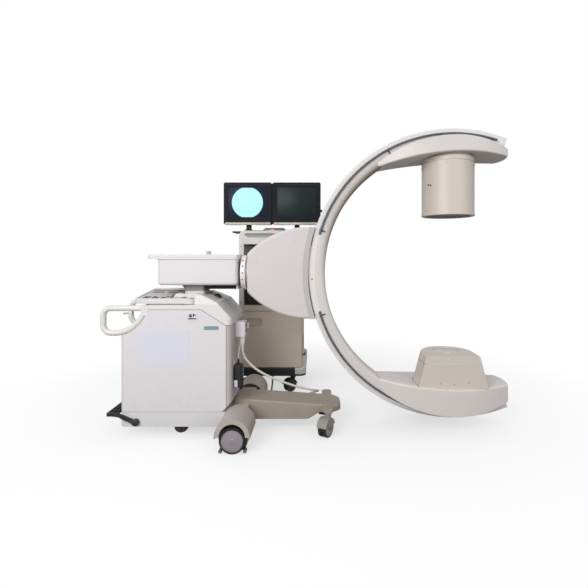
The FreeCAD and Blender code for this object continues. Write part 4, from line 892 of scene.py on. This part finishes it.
def makeDeflectors():
    x = wheel["x"]
    for name, side in sides:
        tips = bmesh.new()
        y0, y1 = sorted(side * y for y in deflector["y"])
        for end in (-1, 1):
            x0, x1 = sorted(x + end * away for away in deflector["x"])
            softBlock(tips, (x0, y0, deflector["z"][0]), (x1, y1, deflector["z"][1]), 2.5)
        putPiece("deflectors_" + name, tips, "deflector", "root")
        shield = bmesh.new()
        y0, y1 = sorted(side * y for y in guard["y"])
        verts = block(shield, (x - guard["half"], y0, guard["z"][0]), (x + guard["half"], y1, guard["z"][1]))
        taper(verts, x, guard["foot"], top=False)
        bevelRims(shield, verts, 3)
        putPiece("wheelGuard_" + name, shield, "black", "root")


def makeCastorTrim():
    for castor in castorSpots:
        kind, middle, out, axle = castorPlace(castor)
        radius, half = kind["radius"], kind["half"]
        caps = bmesh.new()
        for side in (-1, 1):
            spot = middle + axle * side * (half + 4.6)
            lathe(caps, ((0, 2.4), (4, 2.4), (6.5, 1.2), (7.5, 0)), spot, axle * side, 24)
        putPiece(castor + "_axleCaps", caps, "screw", castor + "_swivel")
        if not castor.startswith("trolley"):
            continue
        spot = middle + out * (radius + castorBrake["gap"]) + Vector((0, 0, radius * castorBrake["high"]))
        spin = (Matrix.Rotation(math.radians(kind["turn"]), 4, "Z")
                @ Matrix.Rotation(math.radians(castorBrake["tilt"]), 4, "Y"))
        size = Matrix.Diagonal((mm(castorBrake["long"]), mm(half * castorBrake["wide"]),
                                mm(castorBrake["thick"]), 1.0))
        brake = bmesh.new()
        made = bmesh.ops.create_cube(brake, size=1.0, matrix=Matrix.Translation(at(*spot)) @ spin @ size)
        bevelRims(brake, made["verts"], 1.6)
        putPiece(castor + "_brake", brake, "black", castor + "_swivel")


makeWheelCaps()
makeDeflectors()
makeCastorTrim()
print("wheels trimmed")


# Column, arm and carriage

ends = (("Near", -1), ("Far", 1))
armSeam = {"x": (-214, 199), "y": (109, 110.2), "z": (893.5, 896.2)}
flangeRing = {"x": 223.5, "z": 824, "radius": 86, "count": 16, "stops": (918, 730)}
carriageScrews = ((300, 760), (300, 888), (500, 650), (500, 998))
arcScrews = ((749, -2.5), (720, -90.5), (720, 90.5))
railClips = {"radius": 744, "angles": (17.8, 62.0, 106.2), "off": 1.5, "long": 34, "wide": 7, "tip": 2.4}


def makeArmDetails():
    seam = bmesh.new()
    for side in (-1, 1):
        y0, y1 = sorted(side * y for y in armSeam["y"])
        block(seam, (armSeam["x"][0], y0, armSeam["z"][0]), (armSeam["x"][1], y1, armSeam["z"][1]))
    putPiece("armSeam", seam, "seam", "arm")
    putTurned("lockKnobCap", ((0, 2), (7, 2), (8.5, 0.8), (9, -1)), (42, -70, 938), alongZ, 28,
              "pale", "lock_knob")
    putScrews("armScrews", [(200, s * 92, z) for s in (-1, 1) for z in (778, 878)], alongX, 4.5, "arm")
    putTurned("shaftCollar", ((62, 0), (62, 3), (58, 5), (46.5, 5)), (200, 0, arc["z"]), alongX, 48,
              "gapDark", "arm")


def makeFlangeDetails():
    plugs = bmesh.new()
    for k in range(flangeRing["count"]):
        turn = math.tau * k / flangeRing["count"]
        way = (0, math.cos(turn), math.sin(turn))
        spot = (flangeRing["x"], flangeRing["radius"] * way[1], flangeRing["z"] + flangeRing["radius"] * way[2])
        lathe(plugs, ((0, 4.4), (3, 4.4), (3.9, 3.6), (3.9, 0)), spot, way, 14)
    putPiece("flangePlugs", plugs, "gapDark", "rotor")
    stops = bmesh.new()
    for z in flangeRing["stops"]:
        softBlock(stops, (240, -16, z - 7), (249.5, 16, z + 7), 2)
    putPiece("flangeStops", stops, "gapDark", "rotor")


def makeCarriageDetails():
    for name, side in ends:
        putScrews("carriageScrews" + name, [(x, side * 85, z) for x, z in carriageScrews], (0, side, 0), 3.4,
                  "rotor", "housing")
    putTurned("carriageBrake", ((0, 20), (13, 20), (16, 17), (16.5, 8), (10, 5), (9, 0)), (470, 85, arc["z"]),
              alongY, 32, "knob", "rotor")


def onArc(radius, angle, y):
    turn = math.radians(angle)
    return (arc["x"] - radius * math.cos(turn), y, arc["z"] + radius * math.sin(turn))


def makeArcDetails():
    for name, side in ends:
        putScrews("arcScrews" + name, [onArc(radius, angle, side * arc["half"]) for radius, angle in arcScrews],
                  (0, side, 0), 4, "c_arm", "gapDark")
    for name, side in ends:
        clips = bmesh.new()
        for angle in [up * angle for up in (-1, 1) for angle in railClips["angles"]]:
            turn = math.radians(angle)
            softRod(clips, onArc(railClips["radius"], angle, side * (arc["half"] + railClips["off"])),
                    (math.cos(turn), 0, -math.sin(turn)), railClips["wide"], railClips["long"], 0.8, 2,
                    radius2=railClips["tip"], segments=20)
        putPiece("handrailFeet" + name, clips, "grip", "c_arm")


makeArmDetails()
makeFlangeDetails()
makeCarriageDetails()
makeArcDetails()
print("arm and arc detailed")


# Intensifier and tube

intensifier = {
    "x": 1330, "window": 1134, "plugs": {"out": 137.5, "z": 1398, "turns": (200, 250, 290, 340, 20, 90, 160)},
    "marks": {"out": 137.6, "spots": ((1290, 208), (1286, 214))},
}
tube = {"x": 1315, "window": 397.5, "rim": 400.8, "screws": ((1250, 258), (1319, 255), (1392, 262)), "face": -145}


def onCan(out, z, degrees):
    turn = math.radians(degrees)
    way = Vector((math.cos(turn), math.sin(turn), 0))
    return Vector((intensifier["x"], 0, z)) + way * out, way


def makeIntensifierDetails():
    putTurned("entranceWindow", ((0, 0), (121, 0), (121.6, -1.5), (121.6, -3)),
              (intensifier["x"], 0, intensifier["window"]), (0, 0, -1), 72, "window", "c_arm")
    plugs, marks = bmesh.new(), bmesh.new()
    facts = intensifier["plugs"]
    for degrees in facts["turns"]:
        lathe(plugs, ((0, 3), (4, 3), (5.5, 2), (6, 0)), *onCan(facts["out"], facts["z"], degrees), 20)
    putPiece("intensifierPlugs", plugs, "tank", "c_arm")
    facts = intensifier["marks"]
    for z, degrees in facts["spots"]:
        lathe(marks, ((0, 2), (4.4, 2), (5, 0)), *onCan(facts["out"], z, degrees), 20)
    putPiece("intensifierMarks", marks, "gapDark", "c_arm")


def makeTubeDetails():
    putTurned("collimatorWindow", ((0, 1.2), (68, 1.2), (69.4, 0.4), (69.4, -0.6)), (tube["x"], 0, tube["window"]),
              alongZ, 64, "tank", "c_arm")
    putTurned("collimatorRim", ((70.2, 0), (71, 1.5), (78, 1.5), (79, 0)), (tube["x"], 0, tube["rim"]),
              alongZ, 64, "tank", "c_arm")
    putScrews("tubeScrews", [(x, tube["face"], z) for x, z in tube["screws"]], towardsView, 3.5, "c_arm", "seam")
    putBlock("tubeSeam", (1186, tube["face"] - 1, 358.4), (1444, tube["face"] + 2, 361.8), "roof", "c_arm")


makeIntensifierDetails()
makeTubeDetails()
print("intensifier and tube detailed")


# Trolley

equipment = {
    "front": 529.6, "plates": ((596, 676), (684, 764), (772, 858)), "slots": {"x": 160, "pitch": 16, "count": 9},
    "bars": ((330, 640, 460, 652), (170, 720, 320, 738)), "dials": {"x": 358, "pitch": 28},
}
cupboardVents = {"sides": ((-1, 102), (1, 519)), "y": 760, "pitch": 16, "wide": 6, "z": (220, 330), "count": 10}


def makeEquipment():
    front = equipment["front"]
    plates = bmesh.new()
    for z0, z1 in equipment["plates"]:
        softBlock(plates, (146, front - 3, z0), (476, front + 1, z1), 1.5)
    putPiece("equipmentFronts", plates, "black", "root")
    slots = bmesh.new()
    facts = equipment["slots"]
    for k in range(facts["count"]):
        x = facts["x"] + k * facts["pitch"]
        block(slots, (x, front - 4, 606), (x + 10, front - 2.4, 666))
    for x0, z0, x1, z1 in equipment["bars"]:
        block(slots, (x0, front - 4.4, z0), (x1, front - 2.4, z1))
    putPiece("equipmentSlots", slots, "gapDark", "root", bevel=0.6)
    dials = bmesh.new()
    for k in range(4):
        x = equipment["dials"]["x"] + k * equipment["dials"]["pitch"]
        lathe(dials, ((0, 9), (6, 9), (7.5, 7), (8, 0)), (x, front - 3, 724), towardsView, 24)
        lathe(dials, ((0, 5), (3, 5), (4, 0)), (x, front - 3, 812), towardsView, 18)
    putPiece("equipmentDials", dials, "keyGrey", "root")


def makeTrolleyDetails():
    grip = bmesh.new()
    softBlock(grip, (159, 499.2, 500), (250, 501.5, 503), 0.8)
    block(grip, (158, 513.5, 448), (251, 515.2, 499))
    putPiece("doorGripLining", grip, "panelBrown", "door")
    putTurned("doorLock", ((0, 3), (5.5, 3), (7, 2), (7.5, 0)), (134, 500, 474), towardsView, 24,
              "screw", "door")
    hook = bmesh.new()
    verts = block(hook, (520.6, 545, 244), (543, 562, 252)) + block(hook, (536, 545, 252), (543, 562, 266))
    bevelRims(hook, verts, 1.5)
    putPiece("sideHook", hook, "black", "root")
    putBlock("shelfTrim", (100, 495.2, 562), (521, 496.4, 566), "panelBrown", "root")
    vents = bmesh.new()
    for side, x in cupboardVents["sides"]:
        x0, x1 = sorted((x, x + side * 0.9))
        for k in range(cupboardVents["count"]):
            y = cupboardVents["y"] + k * cupboardVents["pitch"]
            block(vents, (x0, y, cupboardVents["z"][0]), (x1, y + cupboardVents["wide"], cupboardVents["z"][1]))
    putPiece("cupboardVents", vents, "gapDark", "root")
    putScrews("frameScrews", [(x, 500, z) for x in (117, 504) for z in (604, 976)], towardsView, 3.6, "root")
    # painted shade: grey plates behind the top slot and under the top board stand in for the board's shaded
    # underside
    putBlock("topSlotPaintedShade", (130, 515.5, 1032), (490, 518, 1062.5), "seam", "root")
    putBlock("topUndersidePaintedShade", (132, 514, 990.6), (489, 1086, 993), "keyGrey", "root")


makeEquipment()
makeTrolleyDetails()
print("trolley fitted out")


# Pedal

pedalRibs = {"x": (-436, -400), "y": -170, "pitch": 40, "wide": 22, "z": (124.2, 127), "count": 9}


def makePedalRibs():
    ribs = bmesh.new()
    for k in range(pedalRibs["count"]):
        y = pedalRibs["y"] + k * pedalRibs["pitch"]
        softBlock(ribs, (pedalRibs["x"][0], y, pedalRibs["z"][0]),
                  (pedalRibs["x"][1], y + pedalRibs["wide"], pedalRibs["z"][1]), 1.2)
    putPiece("pedalRibs", ribs, "rubber", "pedal")
    putTurned("pedalBoss", ((0, 5), (6, 5), (8, 3), (12, 2.4), (15, 0)), (-296, -196, 78), towardsView, 32,
              "black", "pedal")


makePedalRibs()
print("pedal ribbed")
